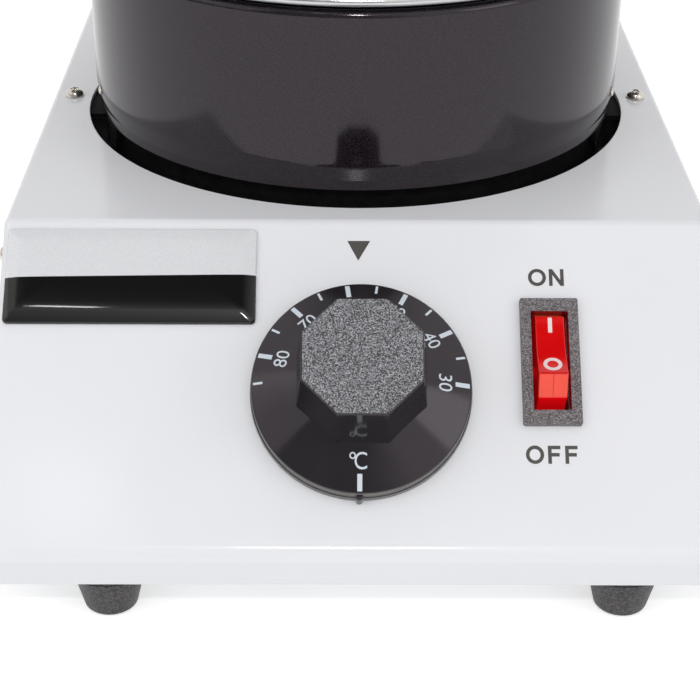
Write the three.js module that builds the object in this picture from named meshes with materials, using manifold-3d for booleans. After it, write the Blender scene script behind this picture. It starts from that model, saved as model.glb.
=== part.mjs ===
// Chocolate melting pot: a sloped-front sheet housing, a heated well in a round jacket, and a lift-out pan.
// Millimetres, +Z up, front towards -Y. The origin is under the middle of the whole object, on the floor.
import * as THREE from 'three';
import { mergeVertices } from 'three/addons/utils/BufferGeometryUtils.js';
import Module from 'manifold-3d';

const wasm = await Module();
wasm.setup();

// Fits shared by all pieces
const seatGap = 0.3;
const boreGap = 0.3;
const overrun = 4;
const roundSides = 40;
const smallSides = 10;
const sharpestMitreShare = 0.5;
const quarter = Math.PI / 2;

// Housing
const slopeRun = 63.4;
const slopeRise = 55.5;
const frontLip = 8.3;
const sheet = 1.2;
const bendRadius = 3.2;
const edgeRadius = 1.8;
const bendSteps = 5;
const rearFlange = 11;

// Feet, taking the housing off the floor
const footHeight = 12;
const footTopRadius = 9.06;
const footBottomRadius = 6.2;
const footRound = 1.1;
const footRecessRadius = 3.4;
const footRecessDepth = 6;
const footInset = 26.28;
const footShift = 2.07;
const frontFootSetback = 9.58;
const rearFootSetback = 16;

// Fasteners: radius of the shank, radius and height of the head
const footScrew = { shank: 1.5, head: 2.9, headHeight: 2, reach: 3.4 };
const sideScrew = { shank: 1.25, head: 2.3, headHeight: 1.6, reach: 2.6 };
const backScrew = { shank: 1.25, head: 2.5, headHeight: 1.6, reach: 2.8 };
const deckScrew = { shank: 1.4, head: 2.65, headHeight: 1.9, reach: 2.4 };
const wallScrew = { shank: 0.6, head: 1.15, headHeight: 0.6, reach: 0.3 };
const plateScrew = { shank: 1.4, head: 2.7, headHeight: 1.5, reach: 3 };
const inletScrew = { shank: 1.4, head: 2.7, headHeight: 1.6, reach: 3 };
const lidScrew = { shank: 1.9, head: 3.6, headHeight: 1.6, reach: 9 };
const headCrownShare = 0.45;

// Places of the fasteners of the housing
const sideScrewDrop = 9;
const frontSideScrewSetback = -1;
const rearSideScrewSetback = 20;
const backScrewInset = 6;
const backScrewEnds = 10;

// Round jacket, the opening it stands in, and the deck left round that opening
const jacketRadius = 73.65;
const jacketWall = 2;
const jacketLift = 3.2;
const jacketHeight = 46.8;
const jacketRound = 2;
const jacketMouthGap = 0.7;
const openingGap = 2.5;
const deckFront = 8.05;
const deckRear = 14.65;
const deckSide = 11.35;
const deckScrewEdge = 2.95;
const deckScrewSetback = 1.5;

// Brackets inside the jacket
const bracketSheet = 1.2;
const bracketRise = 15.5;
const bracketHalfAngle = 0.37;
const wallScrewAngle = 0.3;
const wallScrewRise = 10.3;
const bracketFootWidth = 18;
const bracketFootGap = 0.5;

// Heated well: a spun pan hung in the jacket by its flange
const underWell = 26.6;
const wellWall = 1.2;
const wellFlangeInset = 2.25;
const wellCorner = 6;
const heaterThickness = 1.5;
const heaterRise = 7;
const heaterHeight = 56;
const heaterSplit = 12;
const wrapThickness = 1.5;
const wrapRise = 9;
const wrapHeight = 64;
const wrapRoom = 0.55;

// Lift-out pan
const panClearance = 0.5;
const panWall = 0.8;
const panFloorGap = 1.8;
const panCorner = 8;
const panRimInset = 0.25;
const panBead = 1.2;

// Lid and its knob
const lidSheet = 0.8;
const lidInset = 2.4;
const lidGrooveGap = 0.7;
const lidGrooveDepth = 3;
const lidGrooveWidth = 3;
const lidShoulder = 5;
const lidCrown = 3.6;
const knobHeight = 17;
const knobBaseRadius = 8;
const knobNeckRadius = 6.2;
const knobTopRadius = 13;
const knobBoreDepth = 11;

// Thermostat behind the sloped front, placed from the middle of the slope
const dialAcross = 0.7;
const dialBelowMiddle = 2.67;
const thermostatWidth = 40;
const thermostatLength = 30;
const thermostatDepth = 16;
const thermostatBoss = 5;
const spindleRadius = 3;
const spindleCover = 7.1;
const spindleCollar = 3.9;
const plateScrewInset = 6;

// Dial
const dialRadius = 26.5;
const dialDraft = 0.3;
const dialFloat = 0.3;
const dialRimTop = 5;
const dialRimRound = 0.6;
const dialConeRise = 4.9;
const dialSkin = 1.2;
const dialRimWall = 2;
const gripBase = 31.2;
const gripTop = 27.7;
const gripHeight = 27.1;
const gripBevel = 0.5;
const gripSides = 8;
const nubRadius = 0.9;

// Rocker switch, placed from the dial
const switchGap = 11.9;
const switchAboveDial = 7.8;
const bezelWidth = 14;
const bezelLength = 31.9;
const bezelHeight = 1.9;
const bezelCorner = 0.6;
const mouthSide = 2.5;
const mouthEnd = 3.45;
const bezelLap = 0.85;
const switchBodyDepth = 20;
const switchWall = 1.2;
const switchFloor = 2.6;
const rockerSideGap = 1;
const rockerEndGap = 0.6;
const rockerPivotDepth = 7.64;
const rockerPin = 1.3;
const rockerOnTilt = 14;
const rockerRidgeRise = 12.57;
const rockerShoulderRise = 7.6;
const rockerSkirtRise = 3;
const rockerToeDrop = 3;
const rockerShares = { ridge: 0.676, skirt: 0.882, toe: 0.252 };
const rockerSag = 1.4;
const terminalWidth = 4.8;
const terminalThickness = 0.8;
const terminalLength = 6.4;
const terminalPitch = 9;

// Badge plate, bare
const badgePastDial = 1;
const badgeWidth = 24.9;
const badgeThickness = 1.7;
const badgeCorner = 1.2;
const badgeBevel = 0.8;
const badgeInset = 1.5;
const badgeDown = 2.6;

// Power inlet in the back
const inletInset = 41.5;
const inletRise = 18;
const inletLap = 2.25;
const inletFlangeThickness = 2.4;
const inletFlangeCorner = 4;
const inletWall = 1.75;
const inletSocketWidth = 24;
const inletSocketHeight = 16;
const inletSocketDepth = 16;
const inletFloor = 2.5;
const inletScrewSpread = 40;
const inletScrewEdge = 5;
const pinWidth = 2;
const pinHeight = 4;
const pinRecess = 4.6;
const pinTail = 7;
const pinSpread = 14;
const pinStep = 4;

// Temperature sensing under the well, and the leads
const bulbRadius = 3;
const bulbLength = 60;
const capillaryRadius = 0.9;
const clipSheet = 0.8;
const clipLength = 14;
const clipWing = 6;
const leadRadius = 1.2;
const leadSides = 6;
const leadSteps = 18;
const leadFloorRise = 4;
const earthStudReach = 24;

// Levels and lines worked out from the sizes above
const openingRadius = jacketRadius + openingGap;
const bodyWidth = 2 * (openingRadius + deckSide);
const deckDepth = deckFront + 2 * openingRadius + deckRear;
const rearProud = seatGap + inletFlangeThickness;
const frontY = -(slopeRun + deckDepth + rearProud) / 2;
const bendY = frontY + slopeRun;
const rearY = bendY + deckDepth;
const bottomZ = footHeight;
const lipZ = bottomZ + frontLip;
const deckZ = lipZ + slopeRise;
const panelTilt = Math.atan2(slopeRise, slopeRun);
const slopeLength = Math.hypot(slopeRun, slopeRise);
const openingY = bendY + deckFront + openingRadius;
const innerHalf = bodyWidth / 2 - sheet - seatGap;
const bracketFootEnd = innerHalf - sheet - bracketFootGap;
const deckScrewRadius = bracketFootEnd - deckScrewEdge;
const floorTopZ = bottomZ + sheet;
const wellFloor = floorTopZ + underWell;
const jacketBottomZ = deckZ + jacketLift;
const jacketTopZ = jacketBottomZ + jacketHeight;
const jacketInner = jacketRadius - jacketWall;
const wrapRadius = jacketInner - seatGap - bracketSheet - wrapRoom - wrapThickness;
const wellRadius = wrapRadius - seatGap - heaterThickness - seatGap;
const wellFlangeRadius = jacketRadius - wellFlangeInset;
const wellFlangeTopZ = jacketTopZ + seatGap + wellWall;
const panRimZ = wellFlangeTopZ + seatGap;
const panRadius = wellRadius - wellWall - panClearance;
const panRimRadius = jacketRadius - panRimInset;
const panFloorZ = wellFloor + wellWall + panFloorGap;
const lidRadius = panRimRadius - lidInset;
const lidRimZ = panRimZ + panWall + seatGap;
const lidTopZ = lidRimZ + lidShoulder + lidCrown;
const deckUnderZ = deckZ - sheet - seatGap;
const dialDown = slopeLength / 2 + dialBelowMiddle;
const plateScrewSpread = thermostatWidth - 2 * plateScrewInset;
const spindleReach = gripHeight - spindleCover;
const switchAcross = dialAcross + dialRadius + switchGap + bezelWidth / 2;
const switchDown = dialDown - switchAboveDial;
const switchBodyWidth = bezelWidth - 2 * bezelLap;
const switchBodyLength = bezelLength - 2 * bezelLap;
const mouthWidth = bezelWidth - 2 * mouthSide;
const mouthLength = bezelLength - 2 * mouthEnd;
const rockerWidth = mouthWidth - 2 * rockerSideGap;
const rockerHalf = mouthLength / 2 - rockerEndGap;
const badgeStart = -bodyWidth / 2 + badgeInset;
const badgeLength = dialAcross - dialRadius + badgePastDial - badgeStart;
const inletAcross = bodyWidth / 2 - inletInset;
const inletBodyWidth = inletSocketWidth + 2 * inletWall;
const inletBodyHeight = inletSocketHeight + 2 * inletWall;
const inletFlangeWidth = inletScrewSpread + 2 * inletScrewEdge;
const inletFlangeHeight = inletBodyHeight + 2 * inletLap;
const inletZ = bottomZ + inletRise;
const inletFaceY = rearY + rearProud;
const pinTailY = inletFaceY - inletSocketDepth - inletFloor - pinTail;
const bulbZ = wellFloor - seatGap - bulbRadius;

// Materials
const finishes = {
  whitePaint: { color: 0xe4e6e8, roughness: 0.35, metalness: 0 },
  blackSatin: { color: 0x2c2b2d, roughness: 0.4, metalness: 0 },
  blackPlastic: { color: 0x1f1d20, roughness: 0.35, metalness: 0 },
  steel: { color: 0xb9bbbd, roughness: 0.3, metalness: 1 },
  nickel: { color: 0xc8c2b8, roughness: 0.25, metalness: 1 },
  brass: { color: 0xc6a35a, roughness: 0.3, metalness: 1 },
  copper: { color: 0xb4714a, roughness: 0.35, metalness: 1 },
  rubber: { color: 0x38363a, roughness: 0.7, metalness: 0 },
  greyPlastic: { color: 0x5c595b, roughness: 0.6, metalness: 0 },
  redLens: { color: 0xd01008, roughness: 0.2, metalness: 0 },
  silicone: { color: 0xa8452c, roughness: 0.6, metalness: 0 },
  blackFelt: { color: 0x1d1c1c, roughness: 0.9, metalness: 0 },
  badgeSilver: { color: 0xb8babd, roughness: 0.25, metalness: 0.4 },
};

const melter = new THREE.Group();
const front = new THREE.Group();
front.position.set(0, bendY, deckZ);
front.rotation.x = panelTilt;
front.updateMatrix();
melter.add(front);

// Geometry tools

function tidy(geometry) {
  const bare = geometry.clone();
  bare.deleteAttribute('normal');
  bare.deleteAttribute('uv');
  const merged = mergeVertices(bare);
  const kept = [];
  for (let i = 0; i < merged.index.count; i += 3) {
    const corners = [merged.index.getX(i), merged.index.getX(i + 1), merged.index.getX(i + 2)];
    if (new Set(corners).size === 3) kept.push(...corners);
  }
  merged.setIndex(kept);
  return merged;
}

function solidOf(geometry) {
  const closed = tidy(geometry);
  const vertProperties = new Float32Array(closed.attributes.position.array);
  const triVerts = new Uint32Array(closed.index.array);
  return new wasm.Manifold(new wasm.Mesh({ numProp: 3, vertProperties, triVerts }));
}

function geometryOf(solid) {
  const mesh = solid.getMesh();
  const geometry = new THREE.BufferGeometry();
  geometry.setAttribute('position', new THREE.BufferAttribute(mesh.vertProperties, 3));
  geometry.setIndex(new THREE.BufferAttribute(mesh.triVerts, 1));
  geometry.computeVertexNormals();
  return geometry;
}

function cut(base, ...tools) {
  let solid = solidOf(base);
  for (const tool of tools) solid = solid.subtract(solidOf(tool));
  return geometryOf(solid);
}

function join(base, ...others) {
  let solid = solidOf(base);
  for (const other of others) solid = solid.add(solidOf(other));
  return geometryOf(solid);
}

function overlap(base, other) {
  return geometryOf(solidOf(base).intersect(solidOf(other)));
}

function add(name, geometry, finish, parent = melter) {
  const mesh = new THREE.Mesh(geometry, new THREE.MeshStandardMaterial(finishes[finish]));
  mesh.name = name;
  parent.add(mesh);
  return mesh;
}

function block(x0, x1, y0, y1, z0, z1) {
  const geometry = new THREE.BoxGeometry(x1 - x0, y1 - y0, z1 - z0);
  return geometry.translate((x0 + x1) / 2, (y0 + y1) / 2, (z0 + z1) / 2);
}

// A round bar along Z from z0 to z1
function bar(radius, z0, z1, sides = smallSides) {
  const geometry = new THREE.CylinderGeometry(radius, radius, z1 - z0, sides);
  return geometry.rotateX(quarter).translate(0, 0, (z0 + z1) / 2);
}

// A closed outline of [radius, height] pairs, turned about Z, with its faces out
function spun(outline, sides = roundSides) {
  let area = 0;
  outline.forEach(([r, z], i) => {
    const [rNext, zNext] = outline[(i + 1) % outline.length];
    area += (r * zNext - rNext * z) / 2;
  });
  const ordered = area > 0 ? outline : [...outline].reverse();
  const points = ordered.map(([r, z]) => new THREE.Vector2(r, z));
  if (points[0].x > 0 || points[points.length - 1].x > 0) points.push(points[0].clone());
  return new THREE.LatheGeometry(points, sides).rotateX(quarter);
}

// A run of points round an arc in the [radius, height] plane
function arc(r, z, radius, from, to, steps = 3) {
  const points = [];
  for (let i = 0; i <= steps; i += 1) {
    const angle = from + (to - from) * (i / steps);
    points.push([r + radius * Math.cos(angle), z + radius * Math.sin(angle)]);
  }
  return points;
}

// The path moved sideways by a distance, to its right as it runs
function beside(path, distance) {
  return path.map((point, i) => {
    const before = path[Math.max(i - 1, 0)];
    const after = path[Math.min(i + 1, path.length - 1)];
    const inward = new THREE.Vector2(point[0] - before[0], point[1] - before[1]).normalize();
    const outward = new THREE.Vector2(after[0] - point[0], after[1] - point[1]).normalize();
    const along = inward.clone().add(outward).normalize();
    const leading = outward.lengthSq() > 0 ? outward : inward;
    const stretch = distance / Math.max(along.dot(leading), sharpestMitreShare);
    return [point[0] + along.y * stretch, point[1] - along.x * stretch];
  });
}

// Sheet metal spun to a path of [radius, height] pairs, its thickness to the right of the path
function spunSheet(path, thickness, sides = roundSides) {
  return spun([...path, ...beside(path, thickness).reverse()], sides);
}

function plate(width, length, height, corner, bevel = 0) {
  const halfX = width / 2;
  const halfY = length / 2;
  const shape = new THREE.Shape();
  shape.moveTo(halfX, -halfY + corner);
  shape.lineTo(halfX, halfY - corner);
  shape.absarc(halfX - corner, halfY - corner, corner, 0, quarter);
  shape.lineTo(-halfX + corner, halfY);
  shape.absarc(-halfX + corner, halfY - corner, corner, quarter, 2 * quarter);
  shape.lineTo(-halfX, -halfY + corner);
  shape.absarc(-halfX + corner, -halfY + corner, corner, 2 * quarter, 3 * quarter);
  shape.lineTo(halfX - corner, -halfY);
  shape.absarc(halfX - corner, -halfY + corner, corner, 3 * quarter, 4 * quarter);
  const options = {
    depth: height - 2 * bevel, curveSegments: 2, bevelEnabled: bevel > 0,
    bevelThickness: bevel, bevelSize: bevel, bevelOffset: -bevel, bevelSegments: 1,
  };
  return tidy(new THREE.ExtrudeGeometry(shape, options)).translate(0, 0, bevel);
}

// A pan-head screw pointing down -Z with the seat of its head at z = 0
function panScrew(size, through) {
  const crown = size.headHeight * headCrownShare;
  const shoulder = size.head - crown;
  return spun([
    [0, -through], [size.shank, -through], [size.shank, 0], [size.head, 0],
    [size.head, size.headHeight - crown], [shoulder, size.headHeight], [0, size.headHeight],
  ], smallSides);
}

// A countersunk screw pointing down -Z with the top of its head at z = 0
function sunkScrew(size, through) {
  return spun([
    [0, -through], [size.shank, -through], [size.shank, -size.headHeight], [size.head, 0], [0, 0],
  ], smallSides);
}

function onPanel(geometry) {
  return geometry.applyMatrix4(front.matrix);
}

function panelPoint(across, down, out) {
  return new THREE.Vector3(across, -down, out).applyMatrix4(front.matrix);
}

// Housing: one folded cover with a lip along its front, an inner tray, and a back panel

// The side view of the housing, moved inwards by an inset and run on past its open ends
function sideShape(inset, past) {
  const radius = Math.max(bendRadius - inset, 0);
  const tangentTop = bendRadius * Math.tan(panelTilt / 2);
  const tangentLip = bendRadius * Math.tan((quarter - panelTilt) / 2);
  const outline = [
    [rearY + past, bottomZ - past],
    [rearY + past, deckZ - inset],
    ...arc(bendY + tangentTop, deckZ - bendRadius, radius, quarter, quarter + panelTilt, bendSteps),
    ...arc(frontY + bendRadius, lipZ - tangentLip, radius, quarter + panelTilt, 2 * quarter, bendSteps),
    [frontY + inset, bottomZ - past],
  ];
  return new THREE.Shape(outline.map(([y, z]) => new THREE.Vector2(y, z)));
}

// The side view swept across the housing, with rounded edges where asked
function sweptSide(inset, past, half, round) {
  const options = round > 0 ? {
    depth: 2 * (half - round), bevelEnabled: true, bevelThickness: round, bevelSize: round,
    bevelOffset: -round, bevelSegments: 3,
  } : { depth: 2 * half, bevelEnabled: false };
  const geometry = new THREE.ExtrudeGeometry(sideShape(inset, past), options);
  const turn = new THREE.Matrix4().makeBasis(
    new THREE.Vector3(0, 1, 0), new THREE.Vector3(0, 0, 1), new THREE.Vector3(1, 0, 0),
  );
  return geometry.applyMatrix4(turn).translate(-half + round, 0, 0);
}

// Turned so that a piece built along +Z runs outwards along X on one side
function outAlongX(geometry, side, y, z) {
  return geometry.rotateY(side * quarter).translate(side * bodyWidth / 2, y, z);
}

const sideScrewPlaces = [
  ['front', bendY + frontSideScrewSetback],
  ['rear', rearY - rearSideScrewSetback],
].flatMap(([end, y]) => [['left', -1], ['right', 1]].map(([hand, side]) => ({ end, y, hand, side })));
const sideScrewZ = deckZ - sideScrewDrop;

const footPlaces = [
  ['front', frontY + frontFootSetback],
  ['rear', rearY - rearFootSetback],
].flatMap(([end, y]) => [['left', -1], ['right', 1]].map(([hand, side]) => (
  { end, y, hand, x: side * (bodyWidth / 2 - footInset) + footShift }
)));

const backScrewPlaces = [['lower', bottomZ + backScrewEnds], ['upper', deckZ - backScrewEnds]]
  .flatMap(([level, z]) => [['left', -1], ['right', 1]].map(([hand, side]) => (
    { level, z, hand, x: side * (bodyWidth / 2 - backScrewInset) }
  )));

function holesForSides(screwGap) {
  return sideScrewPlaces.map(({ y, side }) => (
    outAlongX(bar(sideScrew.shank + screwGap, -overrun, overrun), side, y, sideScrewZ)
  ));
}

function holesForBack() {
  return backScrewPlaces.map(({ x, z }) => (
    bar(backScrew.shank + boreGap, -overrun, overrun).rotateX(quarter).translate(x, rearY, z)
  ));
}

function addHousing() {
  const outside = sweptSide(0, edgeRadius, bodyWidth / 2, edgeRadius);
  const inside = sweptSide(sheet, overrun, bodyWidth / 2 - sheet, edgeRadius - sheet);
  const room = block(-bodyWidth, bodyWidth, frontY - overrun, rearY, bottomZ, deckZ + overrun);
  const flangeBack = rearY - sheet - seatGap;
  const flanges = [-1, 1].map((side) => {
    const outer = side * (bodyWidth / 2 - sheet / 2);
    const inner = side * (bodyWidth / 2 - rearFlange);
    return block(
      Math.min(outer, inner), Math.max(outer, inner), flangeBack - sheet, flangeBack,
      floorTopZ + seatGap, deckZ - sheet / 2,
    );
  });
  const shell = overlap(cut(outside, inside), room);
  const spindleHole = bar(thermostatBoss + boreGap, -overrun, overrun, smallSides * 2);
  const plateHoles = [-1, 1].map((side) => (
    bar(plateScrew.shank + boreGap, -overrun, overrun).translate(side * plateScrewSpread / 2, 0, 0)
  ));
  const dialHoles = [spindleHole, ...plateHoles].map((hole) => (
    onPanel(hole.translate(dialAcross, -dialDown, 0))
  ));
  const switchWidth = switchBodyWidth + 2 * boreGap;
  const switchLength = switchBodyLength + 2 * boreGap;
  const switchHole = onPanel(plate(switchWidth, switchLength, 2 * overrun, bezelCorner)
    .translate(switchAcross, -switchDown, -overrun));
  const opening = bar(openingRadius, -overrun, overrun, roundSides).translate(0, openingY, deckZ);
  const deckHoles = [-1, 1].map((side) => (
    bar(deckScrew.shank + boreGap, -overrun, overrun)
      .translate(side * deckScrewRadius, openingY + deckScrewSetback, deckZ)
  ));
  const cover = cut(
    join(shell, ...flanges), opening, ...deckHoles, ...dialHoles, switchHole,
    ...holesForSides(boreGap), ...holesForBack(),
  );
  add('top_cover', cover, 'whitePaint');

  const trayBack = flangeBack - sheet - seatGap;
  const trayInset = sheet + seatGap;
  const trayRoom = block(-bodyWidth, bodyWidth, frontY - overrun, trayBack, bottomZ, deckZ);
  const traySide = overlap(sweptSide(trayInset, overrun, innerHalf, 0), trayRoom);
  const hollow = block(
    -innerHalf + sheet, innerHalf - sheet, frontY - overrun, rearY + overrun, floorTopZ, deckZ + overrun,
  );
  const footHoles = footPlaces.map(({ x, y }) => (
    bar(footScrew.shank + boreGap, -overrun, overrun).translate(x, y, bottomZ)
  ));
  add('chassis_tray', cut(traySide, hollow, ...footHoles, ...holesForSides(boreGap)), 'steel');

  const backSheet = block(-innerHalf, innerHalf, rearY - sheet, rearY, bottomZ, deckUnderZ);
  const inletHole = block(
    -inletBodyWidth / 2 - boreGap, inletBodyWidth / 2 + boreGap, rearY - overrun, rearY + overrun,
    -inletBodyHeight / 2 - boreGap, inletBodyHeight / 2 + boreGap,
  ).translate(inletAcross, 0, inletZ);
  const inletHoles = [-1, 1].map((side) => (
    bar(inletScrew.shank + boreGap, -overrun, overrun).rotateX(quarter)
      .translate(inletAcross + side * inletScrewSpread / 2, rearY, inletZ)
  ));
  add('back_panel', cut(backSheet, inletHole, ...inletHoles, ...holesForBack()), 'whitePaint');

  for (const { end, y, hand, side } of sideScrewPlaces) {
    const screw = panScrew(sideScrew, sideScrew.reach + seatGap).translate(0, 0, seatGap);
    add(`side_screw_${end}_${hand}`, outAlongX(screw, side, y, sideScrewZ), 'nickel');
  }
  for (const { level, z, hand, x } of backScrewPlaces) {
    const screw = panScrew(backScrew, backScrew.reach + seatGap).translate(0, 0, seatGap);
    add(`back_screw_${level}_${hand}`, screw.rotateX(-quarter).translate(x, rearY, z), 'nickel');
  }
}

// Rubber feet, each held by one screw up into the tray
function addFeet() {
  const top = footHeight - seatGap;
  const bore = footScrew.shank + boreGap;
  const outline = [
    [bore, top], [bore, footRecessDepth], [footRecessRadius, footRecessDepth], [footRecessRadius, 0],
    ...arc(footBottomRadius - footRound, footRound, footRound, -quarter, 0), [footTopRadius, top],
  ];
  const shank = footHeight + sheet + footScrew.reach - footRecessDepth;
  for (const { end, y, hand, x } of footPlaces) {
    add(`foot_${end}_${hand}`, spun(outline, smallSides * 2).translate(x, y, 0), 'rubber');
    const screw = panScrew(footScrew, shank).rotateX(2 * quarter);
    add(`foot_screw_${end}_${hand}`, screw.translate(x, y, footRecessDepth - seatGap), 'nickel');
  }
}

// Jacket, the two brackets that carry it, and their screws
function addJacket() {
  const mouth = wellRadius + jacketMouthGap;
  const outline = [
    ...arc(jacketRadius - jacketRound, jacketBottomZ + jacketRound, jacketRound, -quarter, 0),
    ...arc(jacketRadius - jacketRound, jacketTopZ - jacketRound, jacketRound, 0, quarter),
    [mouth, jacketTopZ], [mouth, jacketTopZ - jacketWall], [jacketInner, jacketTopZ - jacketWall],
  ];
  const wallScrewPlaces = [];
  for (const [hand, side] of [['left', -1], ['right', 1]]) {
    for (const [end, turn] of [['front', -1], ['rear', 1]]) {
      const facing = side > 0 ? 0 : 2 * quarter;
      wallScrewPlaces.push({ hand, end, angle: facing + side * turn * wallScrewAngle });
    }
  }
  const wallScrewZ = deckZ + wallScrewRise;
  const radially = (geometry, angle) => geometry.rotateY(quarter).rotateZ(angle);
  const wallHoles = () => wallScrewPlaces.map(({ angle }) => (
    radially(bar(wallScrew.shank + boreGap, jacketInner - overrun, jacketRadius + overrun), angle)
      .translate(0, 0, wallScrewZ)
  ));
  add('jacket', cut(spun(outline), ...wallHoles()).translate(0, openingY, 0), 'blackSatin');

  const legOuter = jacketInner - seatGap;
  const legInner = legOuter - bracketSheet;
  const footTopZ = deckUnderZ;
  const footBottomZ = footTopZ - bracketSheet;
  const legTopZ = deckZ + bracketRise;
  const ring = spun([
    [legInner, footBottomZ], [legOuter, footBottomZ], [legOuter, legTopZ], [legInner, legTopZ],
  ]);
  const halfSpan = legOuter * Math.sin(bracketHalfAngle);
  const footStart = (legInner + legOuter) / 2 - bracketSheet / 2;
  for (const [hand, side] of [['left', -1], ['right', 1]]) {
    const x0 = side > 0 ? 0 : -bodyWidth;
    const x1 = side > 0 ? bodyWidth : 0;
    const sector = overlap(ring, block(
      x0, x1, -halfSpan, halfSpan, footBottomZ - overrun, legTopZ + overrun,
    ));
    const ends = [side * footStart, side * bracketFootEnd];
    const foot = block(
      Math.min(...ends), Math.max(...ends), -bracketFootWidth / 2, bracketFootWidth / 2,
      footBottomZ, footTopZ,
    );
    const screwHole = bar(deckScrew.shank + boreGap, footBottomZ - overrun, footTopZ + overrun)
      .translate(side * deckScrewRadius, deckScrewSetback, 0);
    const bracket = cut(join(sector, foot), screwHole, ...wallHoles());
    add(`jacket_bracket_${hand}`, bracket.translate(0, openingY, 0), 'blackSatin');
    const through = seatGap + sheet + seatGap + bracketSheet + deckScrew.reach;
    add(`deck_screw_${hand}`, panScrew(deckScrew, through).translate(
      side * deckScrewRadius, openingY + deckScrewSetback, deckZ + seatGap,
    ), 'nickel');
  }
  for (const { hand, end, angle } of wallScrewPlaces) {
    const through = seatGap + jacketWall + seatGap + bracketSheet + wallScrew.reach;
    const screw = panScrew(wallScrew, through).translate(0, 0, jacketRadius + seatGap);
    add(`wall_screw_${end}_${hand}`, radially(screw, angle).translate(0, openingY, wallScrewZ), 'nickel');
  }
}

// Heated well: spun pan, silicone heater band round it, and a felt wrap over that
function addWell() {
  const path = [
    [0, wellFloor], ...arc(wellRadius - wellCorner, wellFloor + wellCorner, wellCorner, -quarter, 0),
    [wellRadius, wellFlangeTopZ - wellWall], [wellFlangeRadius, wellFlangeTopZ - wellWall],
  ];
  const well = spunSheet(path, -wellWall);
  add('heating_vessel', well.translate(0, openingY, 0), 'steel');

  const heaterInner = wellRadius + seatGap;
  const heaterOuter = heaterInner + heaterThickness;
  const heaterZ = wellFloor + heaterRise;
  const band = spun([
    [heaterInner, heaterZ], [heaterOuter, heaterZ],
    [heaterOuter, heaterZ + heaterHeight], [heaterInner, heaterZ + heaterHeight],
  ]);
  const split = block(
    -heaterSplit / 2, heaterSplit / 2, 0, heaterOuter + overrun,
    heaterZ - overrun, heaterZ + heaterHeight + overrun,
  );
  add('heater_band', cut(band, split).translate(0, openingY, 0), 'silicone');

  const wrapZ = wellFloor + wrapRise;
  const wrap = spun([
    [wrapRadius, wrapZ], [wrapRadius + wrapThickness, wrapZ],
    [wrapRadius + wrapThickness, wrapZ + wrapHeight], [wrapRadius, wrapZ + wrapHeight],
  ]);
  add('insulation_wrap', wrap.translate(0, openingY, 0), 'blackFelt');
}

// Lift-out pan with a flat rim and a rolled edge
function addPan() {
  const beadZ = panRimZ + panWall / 2;
  const path = [
    [0, panFloorZ], ...arc(panRadius - panCorner, panFloorZ + panCorner, panCorner, -quarter, 0),
    [panRadius, panRimZ], [panRimRadius, panRimZ],
  ];
  const shell = spunSheet(path, -panWall);
  const bead = spun(arc(panRimRadius, beadZ, panBead, 0, 4 * quarter, 6).slice(0, -1));
  add('pan', join(shell, bead).translate(0, openingY, 0), 'steel');
}

// Lid pressed from sheet, with a groove that drops inside the pan, and a turned knob
function addLid() {
  const grooveOuter = panRadius - panWall - lidGrooveGap;
  const grooveInner = grooveOuter - lidGrooveWidth;
  const grooveZ = lidRimZ - lidGrooveDepth;
  const shoulderRadius = grooveInner - lidShoulder / 2;
  const shoulderZ = lidRimZ + lidShoulder;
  const crownSteps = 4;
  const crown = [];
  for (let i = 0; i <= crownSteps; i += 1) {
    const share = 1 - i / crownSteps;
    crown.push([shoulderRadius * share, shoulderZ + lidCrown * (1 - share * share)]);
  }
  const path = [
    [lidRadius, lidRimZ], [grooveOuter, lidRimZ], [grooveOuter, grooveZ], [grooveInner, grooveZ], ...crown,
  ];
  const screwHole = bar(lidScrew.shank + boreGap, lidTopZ - overrun, lidTopZ + overrun);
  add('lid', cut(spunSheet(path, lidSheet), screwHole).translate(0, openingY, 0), 'steel');

  const seatZ = lidTopZ + lidSheet + seatGap;
  const bore = lidScrew.shank + boreGap;
  const capZ = seatZ + knobHeight;
  const capEdge = knobHeight / 3;
  const knob = spun([
    [0, seatZ + knobBoreDepth], [bore, seatZ + knobBoreDepth], [bore, seatZ], [knobBaseRadius, seatZ],
    [knobNeckRadius, seatZ + capEdge], [knobTopRadius, capZ - capEdge],
    [knobTopRadius, capZ - capEdge / 2], [knobNeckRadius, capZ], [0, capZ],
  ], smallSides * 2);
  add('lid_knob', knob.translate(0, openingY, 0), 'blackPlastic');
  const headZ = lidTopZ - seatGap;
  const screw = panScrew(lidScrew, lidScrew.reach + lidSheet + seatGap).rotateX(2 * quarter);
  add('lid_screw', screw.translate(0, openingY, headZ), 'nickel');
}

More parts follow.
